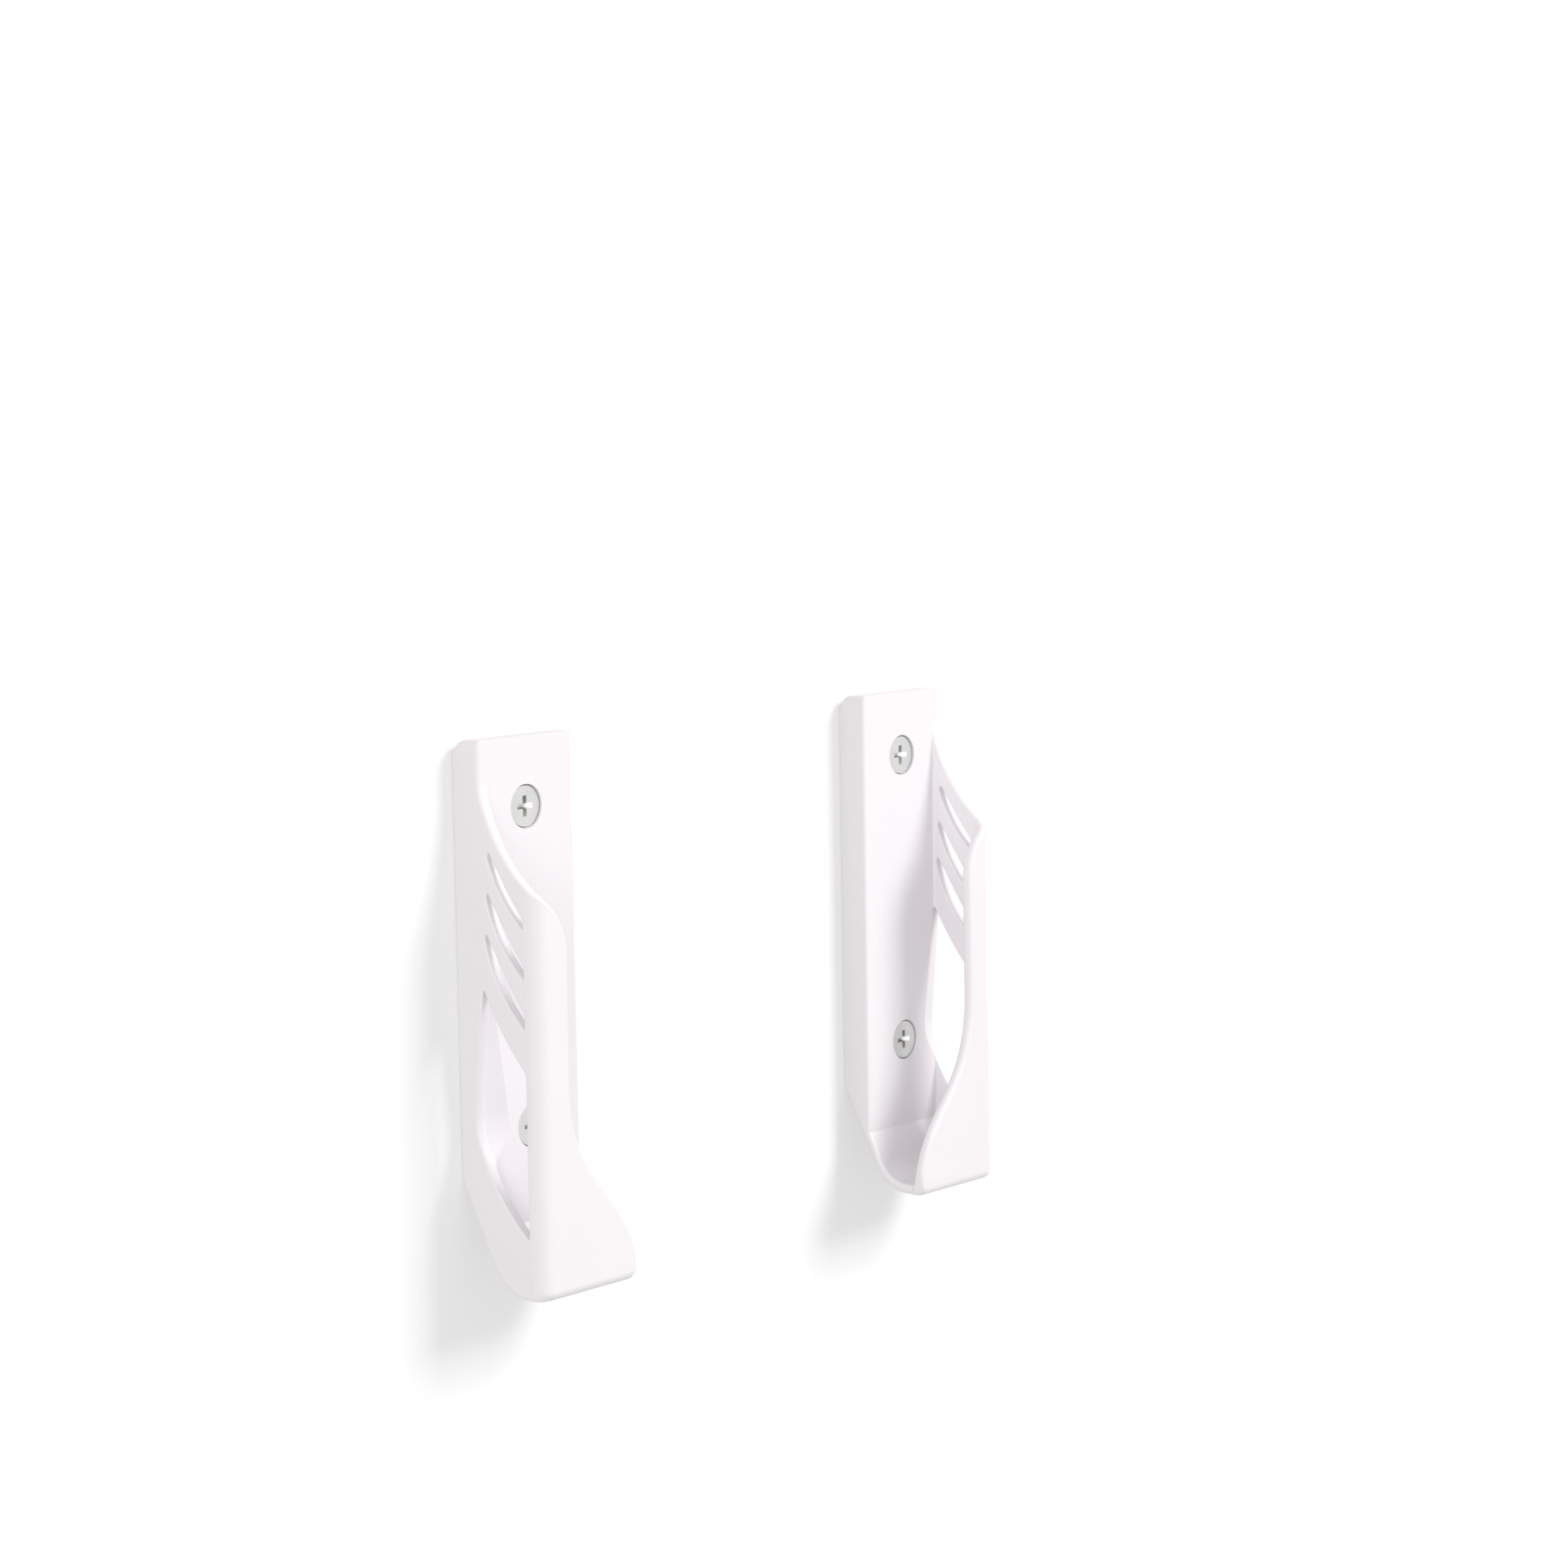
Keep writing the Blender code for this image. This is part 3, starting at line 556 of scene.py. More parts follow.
def rim_curve():
    """The rim, as (along, up), from the side wall's top to the lip's foot."""
    fall = Vector((cos(SHOULDER_SLOPE), -sin(SHOULDER_SLOPE)))
    upright = Vector((0, 1))
    bend = Vector((PLATE_DEPTH, RIM_BEND_HEIGHT))
    shoulder = Vector((ARC_START + SHOULDER_PAST_CORNER, SHOULDER_HEIGHT))
    lip_top = Vector((unrolled_across(LIP_WIDTH), LIP_TOP_HEIGHT))
    sweep = Vector((unrolled_across(LIP_WIDTH + LIP_DRAFT), LIP_SWEEP_HEIGHT))
    foot = Vector((unrolled_across(WIDTH + LIP_END_OVERRUN), -WALL))
    points = curve(bend, bend - upright * RIM_BEND_HANDLE,
                   shoulder - fall * SHOULDER_HANDLE_SIDE, shoulder)
    points += curve(shoulder, shoulder + fall * SHOULDER_HANDLE_LIP,
                    lip_top + upright * LIP_TOP_HANDLE, lip_top)
    points += curve(sweep, sweep - upright * LIP_SWEEP_HANDLE,
                    foot + upright * LIP_END_HANDLE, foot)
    return points + [foot]


def length_of(run):
    """Length along a run of points."""
    return sum((b - a).length for a, b in zip(run, run[1:]))


print("rim length in mm:", round(length_of(rim_curve()) / MM, 1))

# %% [markdown]
# The rim is nearly a full round over the wall's thickness. The cutter that takes away everything
# in front of the rim is built in layers through the wall. Near either face a layer is moved
# outward along the rim's normals, following a quarter circle, so what is left comes out rounded.

# %% Layers through the wall
RIM_RADIUS = 0.85 * MM
LEAST_MITRE = 0.5


def outward_normals(points, closed):
    """Unit normals on the left of a run of points, lengthened at sharp bends."""
    normals = []
    count = len(points)
    for i in range(count):
        before = points[i - 1] if closed or i > 0 else points[i]
        after = points[(i + 1) % count] if closed or i < count - 1 else points[i]
        a = points[i] - before
        b = after - points[i]
        a = a.normalized() if a.length > 0 else b.normalized()
        b = b.normalized() if b.length > 0 else a
        mean = Vector((-a.y - b.y, a.x + b.x)).normalized()
        normals.append(mean / max(LEAST_MITRE, mean.dot(Vector((-a.y, a.x)))))
    return normals


def rounded_layers(radius):
    """Depths into the wall, with how far a cut is widened there, outside and inside."""
    layers = [(-WALL, radius, 0.0)]
    for turn in quarter_turn(EDGE_STEPS):
        deep = radius * (1 - cos(turn))
        layers.append((deep, edge_inset(deep, radius), 0.0))
    for turn in quarter_turn(EDGE_STEPS):
        left = radius * (1 - sin(turn))
        layers.append((WALL - left, 0.0, edge_inset(left, radius)))
    return layers + [(WALL + INNER_RADIUS, 0.0, radius)]


def clear_of_plate(out):
    """Share of the inner rounding a cut gets: none beside the plate, all two walls in front."""
    return min(1.0, max(0.0, (out - PLATE_DEPTH) / (2 * WALL)))


print("layers in a cutter:", len(rounded_layers(RIM_RADIUS)))

# %% Rim cutter
def rim_cutter():
    """Everything in front of and above the rim, as a sheet folded round the corner."""
    rim = rim_curve()
    normals = outward_normals(rim, closed=False)
    top = HEIGHT + WALL
    far = unrolled_across(WIDTH) + 2 * WALL
    last_folded = max(i for i, point in enumerate(rim) if point.x < ARC_END) + 1
    sheets = []
    for deep, outer, inner in rounded_layers(RIM_RADIUS):
        row = [point - normal * (outer + inner * clear_of_plate(point.x))
               for point, normal in zip(rim, normals)]
        sheet = [rolled(point.x, deep, point.y) for point in row]
        sheet += [rolled(far, deep, -WALL), rolled(far, deep, top)]
        sheet += [rolled(row[i].x, deep, top) for i in range(last_folded, -1, -1)]
        sheets.append(sheet)
    count = len(sheets[0])
    strips = [(i, i + 1, count - 2 - i, count - 1 - i) for i in range(last_folded)]
    return mesh_from(sheets, caps=strips + [list(range(last_folded, count - last_folded))])


print("rim cutter faces:", len(rim_cutter().polygons))

# %% [markdown]
# ## Gill slots and window
# Three slots and a large window open the side wall. Each outline is a few straight or bowed runs,
# joined with small rounded corners. The slots start as a point at the rear, swell below, and are
# cut off upright where the front corner begins to turn. Each one further down starts nearer the
# wall, drops further and sags more. The same layers as for the rim round their edges.

# %% Outlines made of runs
VENT_STEPS = 28


def trim(points, length):
    """Takes a length off the start of a run of points."""
    points = list(points)
    while (points[1] - points[0]).length < length:
        length -= (points[1] - points[0]).length
        points.pop(0)
    points[0] = points[0] + (points[1] - points[0]).normalized() * length
    return points


def chain(runs, trims):
    """Joins runs into one outline. Each corner, at its run's start, is rounded over its trim."""
    limits = [ARC_SHARE_OF_EDGE / 2 * length_of(run) for run in runs]
    trims = [min(length, limits[i], limits[i - 1]) for i, length in enumerate(trims)]
    outline = []
    for i, run in enumerate(runs):
        j = (i + 1) % len(runs)
        corner = run[-1]
        run = trim(trim(run, trims[i])[::-1], trims[j])[::-1]
        following = trim(runs[j], trims[j])[0]
        outline += run
        for k in range(1, ROUND_STEPS):
            t = k / ROUND_STEPS
            outline.append(run[-1] * (1 - t) ** 2 + corner * 2 * t * (1 - t) + following * t ** 2)
    return outline


def bowed(start, end, bow):
    """Points of an arc-like curve from start to end that sags to its left by bow at the middle."""
    run = end - start
    middle = (start + end) / 2 + Vector((-run.y, run.x)).normalized() * bow * 2
    return [start * (1 - t) ** 2 + middle * 2 * t * (1 - t) + end * t ** 2
            for t in (k / VENT_STEPS for k in range(VENT_STEPS + 1))]


print("points in a bowed run:", len(bowed(Vector((0, 0)), Vector((1, 0)), 0.1)))

# %% Slots
VENT_RIM_RADIUS = 0.4 * MM
VENT_FRONT_MARGIN = 0.05 * MM
VENT_FRONT_OUT = DEPTH - CORNER_RADIUS - VENT_RIM_RADIUS - VENT_FRONT_MARGIN
SLOT_HEEL = Vector((0.4, 0.8)) * MM
SLOT_UPPER_BOW = 0.25 * MM
SLOT_TIP_TRIM = 0.4 * MM
SLOT_SHOULDER_TRIM = 1.0 * MM
SLOTS_MM = [
    {"tip": (7.9, 75.4), "drop": 10.7, "front_height": 1.7, "lower_bow": 0.95},
    {"tip": (7.45, 68.5), "drop": 11.85, "front_height": 2.1, "lower_bow": 1.15},
    {"tip": (7.0, 61.6), "drop": 13.0, "front_height": 2.5, "lower_bow": 1.35},
]


def slot_outline(tip, drop, front_height, lower_bow):
    """One gill slot, as (out, up), from its own sizes in millimetres."""
    rear = Vector(tip) * MM
    front = Vector((VENT_FRONT_OUT, rear.y - drop * MM))
    toe = front - Vector((0, front_height)) * MM
    heel = rear - SLOT_HEEL
    runs = [bowed(rear, front, -SLOT_UPPER_BOW), [front, toe],
            bowed(toe, heel, lower_bow * MM), [heel, rear]]
    return chain(runs, [SLOT_TIP_TRIM, SLOT_SHOULDER_TRIM, SLOT_TIP_TRIM, SLOT_TIP_TRIM])


print("points in each slot's outline:", [len(slot_outline(**slot)) for slot in SLOTS_MM])

# %% [markdown]
# The window's rear edge lies behind the plate's front, so a straight cut would leave a ledge inside
# it. A mould maker scoops it instead: past the wall the cut leans forward, and the plate rises from
# the window in a smooth slope. The lean fades out in front of the plate, where it is not needed.

# %% Window
WINDOW_TOP = Vector((5.9, 52.4)) * MM
WINDOW_REAR_OUT = 3.65 * MM
WINDOW_REAR_HEIGHT = 28.0 * MM
WINDOW_TIP_HEIGHT = 10.3 * MM
WINDOW_SHOULDER_HEIGHT = 38.7 * MM
WINDOW_LOWER_BOW = 1.5 * MM
WINDOW_UPPER_BOW = 0.7 * MM
WINDOW_TOP_TRIM = 1.2 * MM
WINDOW_REAR_TRIM = 2.8 * MM
WINDOW_CORNER_TRIM = 0.9 * MM
SCOOP_SLOPE = radians(32)
SCOOP_FADE_LENGTH = 6 * MM
SCOOP_END = WALL + (PLATE_DEPTH + INNER_RADIUS - WINDOW_REAR_OUT) / tan(SCOOP_SLOPE)


def window_outline():
    """The large window, as (out, up)."""
    rear = Vector((WINDOW_REAR_OUT, WINDOW_REAR_HEIGHT))
    tip = Vector((VENT_FRONT_OUT, WINDOW_TIP_HEIGHT))
    shoulder = Vector((VENT_FRONT_OUT, WINDOW_SHOULDER_HEIGHT))
    runs = [[WINDOW_TOP, rear], bowed(rear, tip, -WINDOW_LOWER_BOW),
            [tip, shoulder], bowed(shoulder, WINDOW_TOP, WINDOW_UPPER_BOW)]
    return chain(runs, [WINDOW_TOP_TRIM, WINDOW_REAR_TRIM, WINDOW_CORNER_TRIM, WINDOW_CORNER_TRIM])


def scooped(out, deep):
    """How far out a window point lies at this depth, so that the plate rises in a slope."""
    share = min(1.0, max(0.0, (PLATE_DEPTH + SCOOP_FADE_LENGTH - out) / SCOOP_FADE_LENGTH))
    return out + max(0.0, deep - WALL) * tan(SCOOP_SLOPE) * share


print("points in the window's outline:", len(window_outline()))

# %% [markdown]
# One function turns either outline into a cutter. It goes through the side wall in the rounded
# layers of the rim, and for the window it goes on into the plate as the scoop.

# %% Side cutter
def side_cutter(outline, far=None):
    """Cutter through the side wall. With far it goes on that deep into the plate as a scoop."""
    if sum(a.x * b.y - b.x * a.y for a, b in zip(outline, outline[1:] + outline[:1])) > 0:
        outline = outline[::-1]
    normals = outward_normals(outline, closed=True)
    layers = rounded_layers(VENT_RIM_RADIUS)
    if far:
        layers.append((far, *layers[-1][1:]))
    rings = []
    for deep, outer, inner in layers:
        ring = []
        for point, normal in zip(outline, normals):
            out, up = point + normal * (outer + inner * clear_of_plate(point.x))
            ring.append(left_point(deep, scooped(out, deep) if far else out, up))
        rings.append(ring)
    return mesh_from(rings)


print("layers in the window's cutter:", len(rounded_layers(VENT_RIM_RADIUS)) + 1)

# %% [markdown]
# ## The hollow back
# A thick plate would sink as it cools, so the plate is hollow behind, with two round posts that
# take the screws. The posts and holes are turned shapes: a profile spun about an axis square to
# the wall.

# %% Turned shapes
POST_ACROSS = WIDTH / 2
POST_RADIUS = 4.8 * MM
POST_MARGIN = 7 * MM
POCKET_OUTER_WALL = 5.2 * MM
POCKET_INNER_WALL = 3.2 * MM
POCKET_CORNER_RADIUS = 2 * MM
POCKET_BOTTOM = HEEL_HEIGHT + WALL
POCKET_TOP = HEIGHT - TOP_RADIUS - WALL
POST_HEIGHTS = {"top": POCKET_TOP - POST_MARGIN, "bottom": POCKET_BOTTOM + POST_MARGIN}
PLATE_SKIN_BACK = PLATE_DEPTH - WALL
TURN_SEGMENTS = 64
CIRCLE = [2 * pi * k / TURN_SEGMENTS for k in range(TURN_SEGMENTS)]


def axis_point(radius, angle, out, height):
    """Point at this distance and angle from a post's axis."""
    return left_point(POST_ACROSS + radius * cos(angle), out, height + radius * sin(angle))


def turned(profile, height):
    """Solid turned about an axis square to the wall. profile lists (radius, out)."""
    bm = bmesh.new()
    rows = []
    for radius, out in profile:
        angles = CIRCLE if radius else CIRCLE[:1]
        rows.append([bm.verts.new(axis_point(radius, angle, out, height)) for angle in angles])
    if len(rows[0]) > 1:
        rows.append(rows[0])
    for a, b in zip(rows, rows[1:]):
        for k in range(TURN_SEGMENTS):
            j = (k + 1) % TURN_SEGMENTS
            loop = [a[k % len(a)], a[j % len(a)], b[j % len(b)], b[k % len(b)]]
            bm.faces.new(list(dict.fromkeys(loop)))
    return mesh_of(bm)


print("post heights in mm:", {end: round(height / MM, 1) for end, height in POST_HEIGHTS.items()})

# %% Pocket, posts and screw holes
SEAT_GAP = 0.3 * MM
SCREW_RADIUS = 1.75 * MM
SCREW_HEAD_RADIUS = 3.5 * MM
SCREW_HEAD_EDGE = 0.3 * MM
SCREW_SINK = 0.4 * MM
HEAD_FACE = PLATE_DEPTH - SCREW_SINK
CONE_TOP = HEAD_FACE - SCREW_HEAD_EDGE
BORE_RADIUS = SCREW_RADIUS + SEAT_GAP


def pocket_cutter():
    """Hollow behind the plate's skin, open to the wall."""
    start = POCKET_OUTER_WALL
    end = WIDTH - POCKET_INNER_WALL
    corners = [(start, POCKET_TOP), (end, POCKET_TOP), (end, POCKET_BOTTOM), (start, POCKET_BOTTOM)]
    outline = round_corners(corners, [POCKET_CORNER_RADIUS] * 4, [ROUND_STEPS] * 4)
    return mesh_from([[left_point(across, out, up) for across, up in outline]
                      for out in (-WALL, PLATE_SKIN_BACK)])


def screw_post(height):
    """Round post from the plate's skin back to the wall."""
    top = PLATE_SKIN_BACK + WALL / 2
    return turned([(0, 0), (POST_RADIUS, 0), (POST_RADIUS, top), (0, top)], height)


def screw_hole(height):
    """Clearance hole with a countersink in the plate's front."""
    wide = SCREW_HEAD_RADIUS + SEAT_GAP
    return turned([(0, -WALL), (BORE_RADIUS, -WALL), (BORE_RADIUS, CONE_TOP - (wide - BORE_RADIUS)),
                   (wide, CONE_TOP), (wide, PLATE_DEPTH + WALL), (0, PLATE_DEPTH + WALL)], height)


print("screw hole in mm:", round(2 * BORE_RADIUS / MM, 2))

# %% [markdown]
# ## Cutting and finishing
# An exact Boolean takes each cutter away in turn. Afterwards, corners that lie closer together
# than any real edge is long are merged, and faces in one plane are joined again. For smooth
# shading the weighted normal modifier lets the large flat faces keep their own direction, so the
# light only bends on the roundings. An edge sharper than a limit stays a crease, as beside the
# window's scoop.

# %% Boolean cuts and smooth shading
WELD_DISTANCE = 0.004 * MM
SAME_PLANE = radians(0.05)
SHARP_FROM = radians(30)


def applied(part):
    """The part's mesh with its modifiers worked in."""
    bpy.context.view_layer.update()
    graph = bpy.context.evaluated_depsgraph_get()
    mesh = bpy.data.meshes.new_from_object(part.evaluated_get(graph))
    part.modifiers.clear()
    return mesh


def cut(part, cutters, operation="DIFFERENCE"):
    """Applies one exact Boolean per cutter, then deletes the cutters."""
    for mesh in cutters:
        tool = bpy.data.objects.new("cutter", mesh)
        bpy.context.collection.objects.link(tool)
        step = part.modifiers.new("cut", "BOOLEAN")
        step.operation = operation
        step.solver = "EXACT"
        step.object = tool
        part.data = applied(part)
        bpy.data.objects.remove(tool, do_unlink=True)


def new_part(name, mesh):
    """Links a mesh as a named piece."""
    part = bpy.data.objects.new(name, mesh)
    bpy.context.collection.objects.link(part)
    return part


def smooth(part):
    """Cleans the mesh, then shades it smooth with flat faces kept flat."""
    bm = bmesh.new()
    bm.from_mesh(part.data)
    bmesh.ops.remove_doubles(bm, verts=bm.verts, dist=WELD_DISTANCE)
    bmesh.ops.dissolve_degenerate(bm, edges=bm.edges, dist=WELD_DISTANCE)
    bmesh.ops.dissolve_limit(bm, angle_limit=SAME_PLANE, verts=bm.verts, edges=bm.edges)
    bm.to_mesh(part.data)
    bm.free()
    part.data.shade_smooth()
    part.data.set_sharp_from_angle(angle=SHARP_FROM)
    weighted = part.modifiers.new("weighted", "WEIGHTED_NORMAL")
    weighted.keep_sharp = True
    part.data = applied(part)


print("meshes so far:", len(bpy.data.meshes))

# %% [markdown]
# ## The left bracket
# One moulding stays one piece. The order matters: the thin wall is opened first, and the hollow and
# its posts follow, so that no cutter ends on another one's face. The window's scoop stops where its
# slope has reached the plate's front.

# %% Left bracket
left_bracket = new_part("bracket_left", body_mesh())
cut(left_bracket, [channel_mesh(), rim_cutter(), side_cutter(window_outline(), SCOOP_END)])
cut(left_bracket, [side_cutter(slot_outline(**slot)) for slot in SLOTS_MM])
cut(left_bracket, [pocket_cutter()])
cut(left_bracket, [screw_post(height) for height in POST_HEIGHTS.values()], "UNION")
cut(left_bracket, [screw_hole(height) for height in POST_HEIGHTS.values()])
smooth(left_bracket)
print("left bracket faces:", len(left_bracket.data.polygons))

# %% [markdown]
# ## The foam strip
# The strip lies between the posts. Foam is cut with a blade, so its edges are square in outline,
# but they pull in a little between the skin and the wall.

# %% Foam strip
STRIP_SIDE_GAP = 0.6 * MM
STRIP_TO_POST = 1.6 * MM
STRIP_CORNER_RADIUS = 1.5 * MM
STRIP_THICKNESS = PLATE_SKIN_BACK - SEAT_GAP
STRIP_LAYERS = 12
STRIP_PULL_IN = 0.35 * MM


def strip_mesh():
    """Foam strip whose sides pull in between its two faces."""
    low = POST_HEIGHTS["bottom"] + POST_RADIUS + STRIP_TO_POST
    high = POST_HEIGHTS["top"] - POST_RADIUS - STRIP_TO_POST
    start = POCKET_OUTER_WALL + STRIP_SIDE_GAP
    end = WIDTH - POCKET_INNER_WALL - STRIP_SIDE_GAP
    layers = []
    for k in range(STRIP_LAYERS + 1):
        share = k / STRIP_LAYERS
        pull = STRIP_PULL_IN * sqrt(sin(pi * share))
        corners = [(start + pull, high - pull), (end - pull, high - pull),
                   (end - pull, low + pull), (start + pull, low + pull)]
        outline = round_corners(corners, [STRIP_CORNER_RADIUS] * 4, [ROUND_STEPS] * 4)
        layers.append([left_point(across, STRIP_THICKNESS * share, up) for across, up in outline])
    return mesh_from(layers)


left_strip = new_part("foam_strip_left", strip_mesh())
smooth(left_strip)
print("foam strip thickness in mm:", round(STRIP_THICKNESS / MM, 1))

# %% [markdown]
# ## Screws
# A countersunk wood screw: a flat head with a cross recess, a cone, a plain neck and a thread that
# runs out at the point. The thread is a small ridge wound as a helix: the shank's rings are pushed
# outward wherever the ridge passes.

# %% Screw
SCREW_LENGTH = 30 * MM
SCREW_POINT = 4 * MM
THREAD_CORE = 1.2 * MM
THREAD_PITCH = 1.6 * MM
THREAD_ROWS = 12
RIDGE_SHARE = 0.3
NECK_SHARE = 0.94
NECK_RADIUS = SCREW_RADIUS * NECK_SHARE
NECK_LENGTH = 6 * MM
SCREW_END = HEAD_FACE - SCREW_LENGTH
NECK_OUT = CONE_TOP - (SCREW_HEAD_RADIUS - SCREW_RADIUS)
THREAD_START = NECK_OUT - NECK_LENGTH


def thread_radius(out, angle):
    """The shank's radius at one place: the core, plus the ridge where the helix passes."""
    turn = ((THREAD_START - out) / THREAD_PITCH - angle / (2 * pi)) % 1.0
    ridge = max(0.0, 1 - abs(turn - 0.5) / RIDGE_SHARE * 2)
    taper = min(1.0, (out - SCREW_END) / SCREW_POINT)
    start = min(1.0, (THREAD_START - out) / THREAD_PITCH)
    return (THREAD_CORE + (SCREW_RADIUS - THREAD_CORE) * ridge * start) * taper


def screw_mesh(height):
    """Whole screw as rows of points along its axis, head first."""
    plain = [(SCREW_HEAD_RADIUS, HEAD_FACE), (SCREW_HEAD_RADIUS, CONE_TOP),
             (NECK_RADIUS, NECK_OUT), (NECK_RADIUS, THREAD_START)]
    rows = [(out, [radius] * TURN_SEGMENTS) for radius, out in plain]
    step = THREAD_PITCH / THREAD_ROWS
    for k in range(1, int((THREAD_START - SCREW_END) / step)):
        out = THREAD_START - k * step
        rows.append((out, [thread_radius(out, angle) for angle in CIRCLE]))
    return mesh_from([[axis_point(radius, angle, out, height)
                       for radius, angle in zip(radii, CIRCLE)] for out, radii in rows])


print("turns of thread:", round((THREAD_START - SCREW_END) / THREAD_PITCH, 1))

# %% [markdown]
# The cross recess is two tapered slots at a right angle. For the turned rings of the zinc finish
# each point also stores where it lies from the screw's axis.

# %% Recess and axis
RECESS_SPAN = 3.6 * MM
RECESS_WIDTH = 0.9 * MM
RECESS_DEPTH = 1.5 * MM
RECESS_TAPER = 0.5


def recess_cutters(height):
    """Two crossed tapered slots in the head."""
    cutters = []
    corners = ((-1, -1), (1, -1), (1, 1), (-1, 1))
    for wide, tall in ((RECESS_SPAN, RECESS_WIDTH), (RECESS_WIDTH, RECESS_SPAN)):
        layers = []
        for out, share in ((HEAD_FACE + MM, 1.0), (HEAD_FACE, 1.0),
                           (HEAD_FACE - RECESS_DEPTH, RECESS_TAPER)):
            layers.append([left_point(POST_ACROSS + x * wide * share / 2, out,
                                      height + z * tall * share / 2) for x, z in corners])
        cutters.append(mesh_from(layers))
    return cutters


def mark_axis(part, height):
    """Stores each point's place measured from the screw's axis, for the turned rings."""
    marks = part.data.attributes.new(FROM_AXIS, "FLOAT_VECTOR", "POINT")
    axis = left_point(POST_ACROSS, 0, height)
    for mark, vertex in zip(marks.data, part.data.vertices):
        offset = vertex.co - axis
        mark.vector = (offset.x, 0, offset.z)


print("recess depth in mm:", round(RECESS_DEPTH / MM, 1))

# %% [markdown]
# ## Wall plugs
# A nylon plug has a thin collar, a row of shallow barbs and a split along its far part that lets
# the screw spread it. It is turned like the posts, then split with a flat block. Each post of the
# bracket gets one screw and one plug.

# %% Wall plug
PLUG_RADIUS = 3 * MM
PLUG_COLLAR_RADIUS = 4.2 * MM
PLUG_COLLAR = 0.8 * MM
COLLAR_EDGE = 0.15 * MM
PLUG_LENGTH = 28 * MM
PLUG_TIP = 5.4 * MM
BARB_COUNT = 4
BARB_DEPTH = 0.35 * MM
BARB_RISE_SHARE = 0.3
SPLIT_START = 9 * MM
SPLIT_WIDTH = 1 * MM


def plug_mesh(height):
    """Turned plug, before it is split."""
    collar_end = -SEAT_GAP - PLUG_COLLAR
    tip = -SEAT_GAP - PLUG_LENGTH
    low = PLUG_RADIUS - BARB_DEPTH
    profile = [(BORE_RADIUS, -SEAT_GAP), (PLUG_COLLAR_RADIUS - COLLAR_EDGE, -SEAT_GAP),
               (PLUG_COLLAR_RADIUS, -SEAT_GAP - COLLAR_EDGE),
               (PLUG_COLLAR_RADIUS, collar_end + COLLAR_EDGE),
               (PLUG_COLLAR_RADIUS - COLLAR_EDGE, collar_end), (low, collar_end)]
    pitch = (collar_end - tip - PLUG_TIP) / BARB_COUNT
    for k in range(BARB_COUNT):
        profile.append((PLUG_RADIUS, collar_end - pitch * (k + BARB_RISE_SHARE)))
        profile.append((low, collar_end - pitch * (k + 1)))
    profile += [(BORE_RADIUS + BARB_DEPTH, tip), (BORE_RADIUS, tip)]
    return turned(profile, height)


def split_block(height):
    """Flat block that splits the plug's far part."""
    x, z = 2 * PLUG_RADIUS, SPLIT_WIDTH / 2
    corners = [(-x, -z), (x, -z), (x, z), (-x, z)]
    return mesh_from([[left_point(POST_ACROSS + across, out, height + up) for across, up in corners]
                      for out in (-PLUG_LENGTH - WALL, -SPLIT_START)])


print("plug length in mm:", round(PLUG_LENGTH / MM))

# %% Fixings of the left bracket
left_parts = [(left_bracket, "left_bracket", plastic), (left_strip, "left_adhesive_strip", foam)]
for end, height in POST_HEIGHTS.items():
    screw = new_part("countersunk_screw_left_" + end, screw_mesh(height))
    cut(screw, recess_cutters(height))
    smooth(screw)
    mark_axis(screw, height)
    plug = new_part("nylon_plug_left_" + end, plug_mesh(height))
    cut(plug, [split_block(height)])
    smooth(plug)
    left_parts += [(screw, "screw_left_" + end, zinc), (plug, "wall_plug_left_" + end, nylon)]
print("left pieces:", [part.name for part, node, finish in left_parts])

# %% [markdown]
# ## The right side, and what each piece stands for
# The mould for the right bracket is the mirror image of the left one, so its pieces are mirrored
# copies. A mirrored mesh is inside out until its faces are flipped. Each finished piece then hides
# the plain solid that it stands for, hangs from one shared root, and takes its finish's material.

# %% Mirror, dress and hang on the root
MIRROR = Matrix.Scale(-1, 4, Vector((1, 0, 0)))
parts = list(left_parts)
for part, node, finish in left_parts:
    mesh = part.data.copy()
    mesh.transform(MIRROR)
    mesh.flip_normals()
    mirrored = new_part(part.name.replace("left", "right"), mesh)
    parts.append((mirrored, node.replace("left", "right"), finish))
for part, node, finish in parts:
    part.data.materials.clear()
    part.data.materials.append(finish.material)
    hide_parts(node)
    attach(part, "root")
triangles = sum(len(part.data.loop_triangles) for part, node, finish in parts)
print("pieces:", len(parts), "triangles:", triangles)

# %% [markdown]
# ## The wall
# The brackets hang on a white wall, which stands in for the floor of a studio. A picture from
# behind should still show the hollow backs, so the wall has only a front: where a ray meets its
# back, it is clear. It also glows a little of its own accord, so that it reads as white where the
# lamps miss it, and the soft shadow of the brackets stays.

# %% Wall
WALL_HALF = 3.0
WALL_BEHIND = 0.1 * MM
WALL_COLOUR = (0.82, 0.82, 0.815, 1)
WALL_ROUGHNESS = 0.9
WALL_GLOW = 0.14

wall_mesh = bpy.data.meshes.new("painted_wall")
corners = [(-WALL_HALF, WALL_BEHIND, -WALL_HALF), (WALL_HALF, WALL_BEHIND, -WALL_HALF),
           (WALL_HALF, WALL_BEHIND, WALL_HALF), (-WALL_HALF, WALL_BEHIND, WALL_HALF)]
wall_mesh.from_pydata(corners, [], [(0, 1, 2, 3)])
wall = new_part("painted_wall", wall_mesh)
wall.visible_shadow = False
wall.visible_diffuse = False

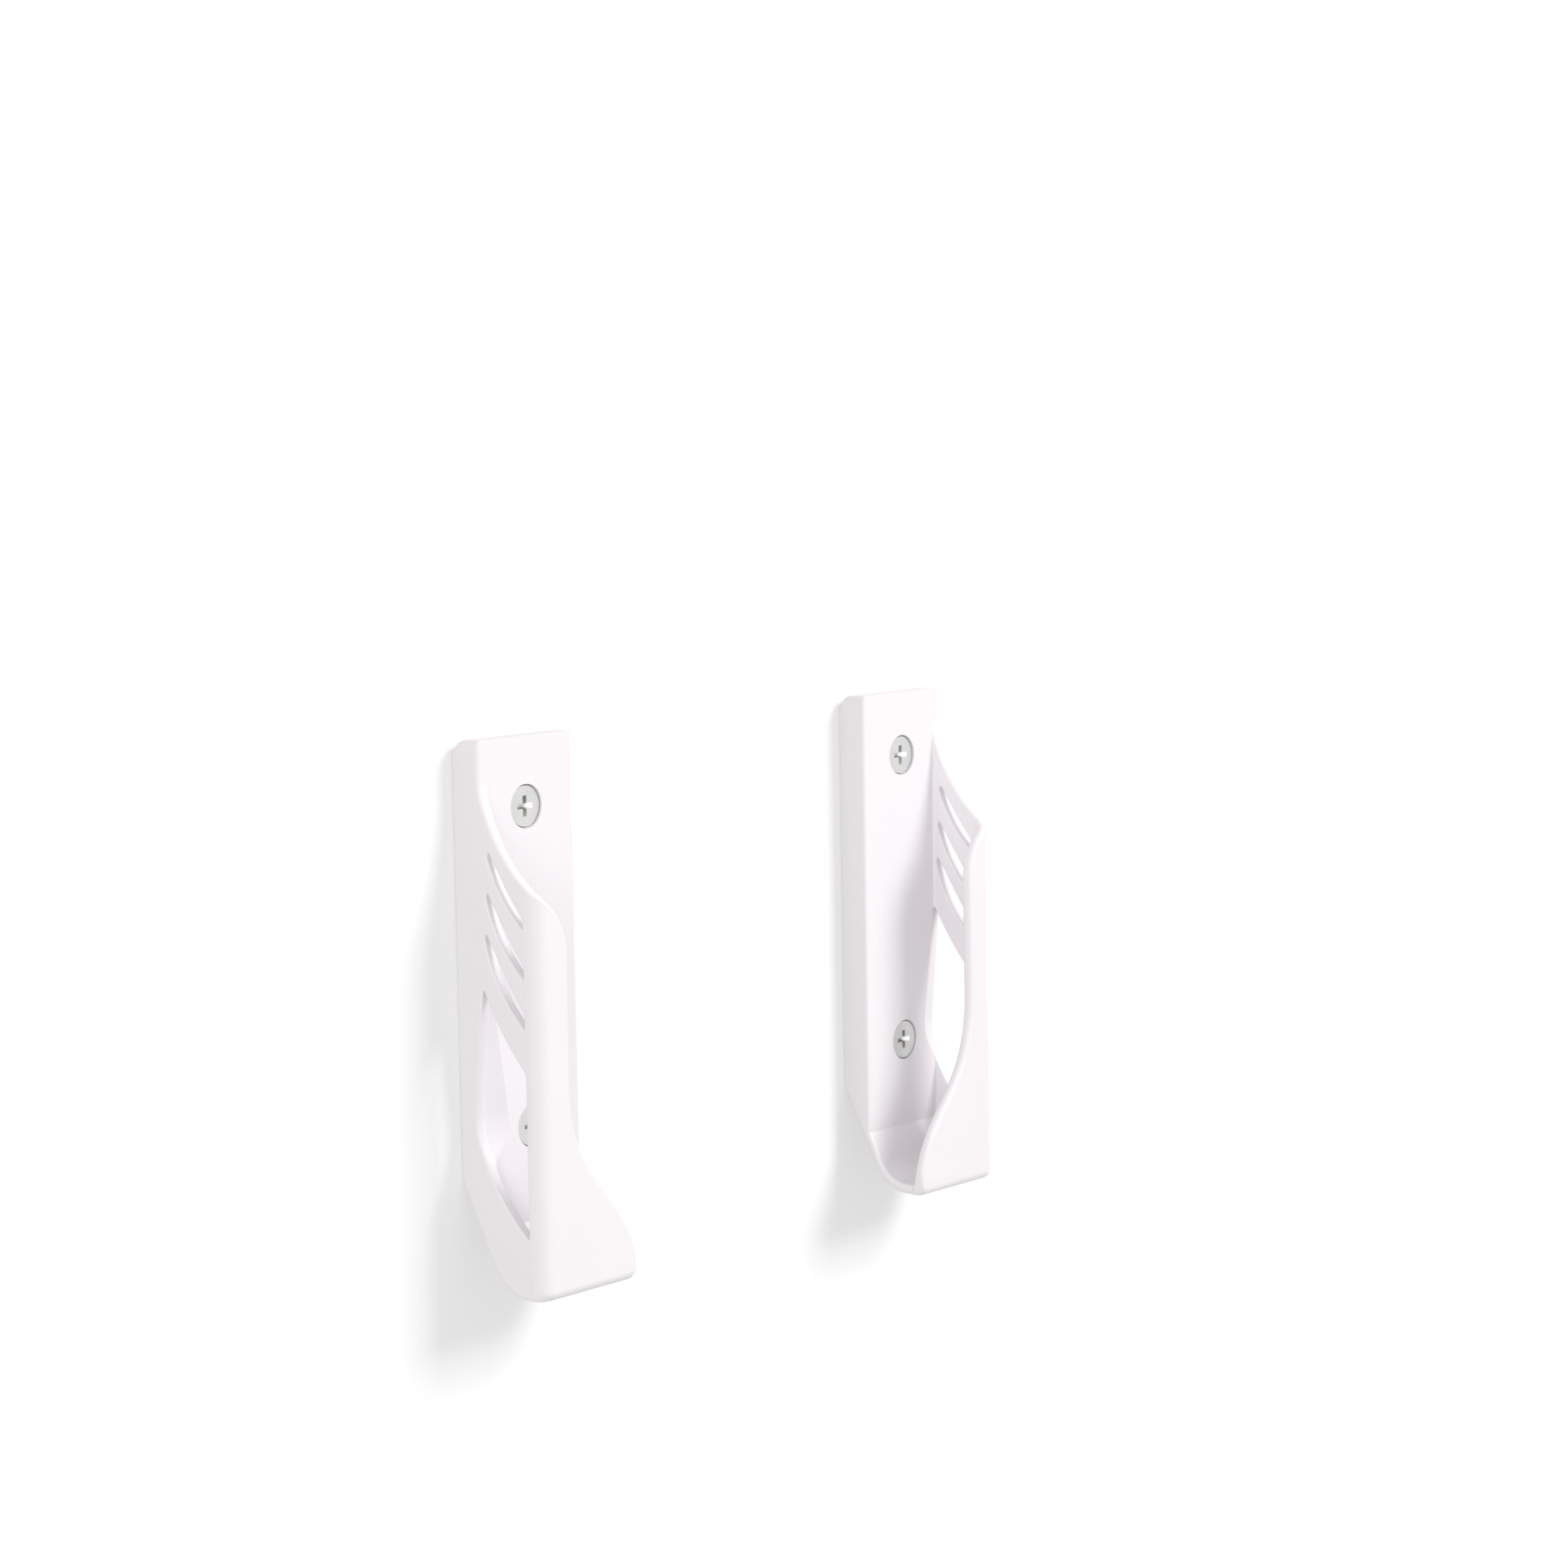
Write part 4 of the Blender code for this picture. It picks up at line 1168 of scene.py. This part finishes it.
paint = Finish("white_wall_paint", "wall", Base_Color=WALL_COLOUR, Roughness=WALL_ROUGHNESS)
glow = paint.node("ShaderNodeEmission", {}, {"Strength": WALL_GLOW})
lit = paint.node("ShaderNodeAddShader", {}, {0: Signal(paint, paint.shader.outputs[0]), 1: glow})
clear = paint.node("ShaderNodeBsdfTransparent", {}, {})
behind = paint.node("ShaderNodeNewGeometry", {}, {}, "Backfacing")
surface = paint.node("ShaderNodeMixShader", {}, {0: behind, 1: lit, 2: clear})
paint.feed(surface, paint.tree.nodes["Material Output"].inputs["Surface"])
wall.data.materials.append(paint.material)
print("wall side in metres:", 2 * WALL_HALF)

# %% [markdown]
# ## Light
# A white room gives most of the light: the world shines evenly from all sides. It is plain white
# for the camera, for mirror reflections and for light that passes through, and dimmer for the
# rest, which leaves room for two lamps. The large key lamp on the front right makes the lip
# brighter than the side wall and throws a soft shadow to the left. The weaker fill lamp on the
# left keeps the side wall from going grey. Together they light a white card about as brightly as
# it is, so colours render as they were written, and no white surface of the brackets clips.

# %% Room
ROOM_STRENGTH = 0.66

world = bpy.data.worlds.new("white_room")
world.use_nodes = True
bpy.context.scene.world = world
room = Graph(world.node_tree)
seen = room.node("ShaderNodeLightPath", {}, {}, "Is Camera Ray")
for ray in ("Is Glossy Ray", "Is Transmission Ray"):
    other = room.node("ShaderNodeLightPath", {}, {}, ray)
    seen = room.node("ShaderNodeMath", {"operation": "MAXIMUM"}, {0: seen, 1: other})
background = world.node_tree.nodes["Background"].inputs
room.feed((1, 1, 1, 1), background["Color"])
room.feed(ROOM_STRENGTH + seen * (1 - ROOM_STRENGTH), background["Strength"])
print("room strength:", ROOM_STRENGTH)

# %% Lamps
LAMP_TARGET = Vector((0, 0, 50)) * MM
KEY_PLACE = Vector((0.7, -1.1, 0.9))
KEY_SIDE = 0.7
KEY_WATTS = 14
FILL_PLACE = Vector((-1.2, -0.5, 0.3))
FILL_SIDE = 0.8
FILL_WATTS = 5.3


def soft_lamp(name, place, side, watts):
    """Square area lamp that faces the middle of the brackets."""
    lamp = bpy.data.objects.new(name, bpy.data.lights.new(name, "AREA"))
    lamp.data.size = side
    lamp.data.energy = watts
    lamp.location = place
    lamp.rotation_mode = "QUATERNION"
    lamp.rotation_quaternion = (place - LAMP_TARGET).to_track_quat("Z", "Y")
    bpy.context.collection.objects.link(lamp)


soft_lamp("key", KEY_PLACE, KEY_SIDE, KEY_WATTS)
soft_lamp("fill", FILL_PLACE, FILL_SIDE, FILL_WATTS)
print("lamps:", [light.name for light in bpy.data.lights])

# %% [markdown]
# ## The view transform
# The picture's colours go to the screen through the plain standard transform.

# %% View transform
scene_view = bpy.context.scene.view_settings
scene_view.view_transform = "Standard"
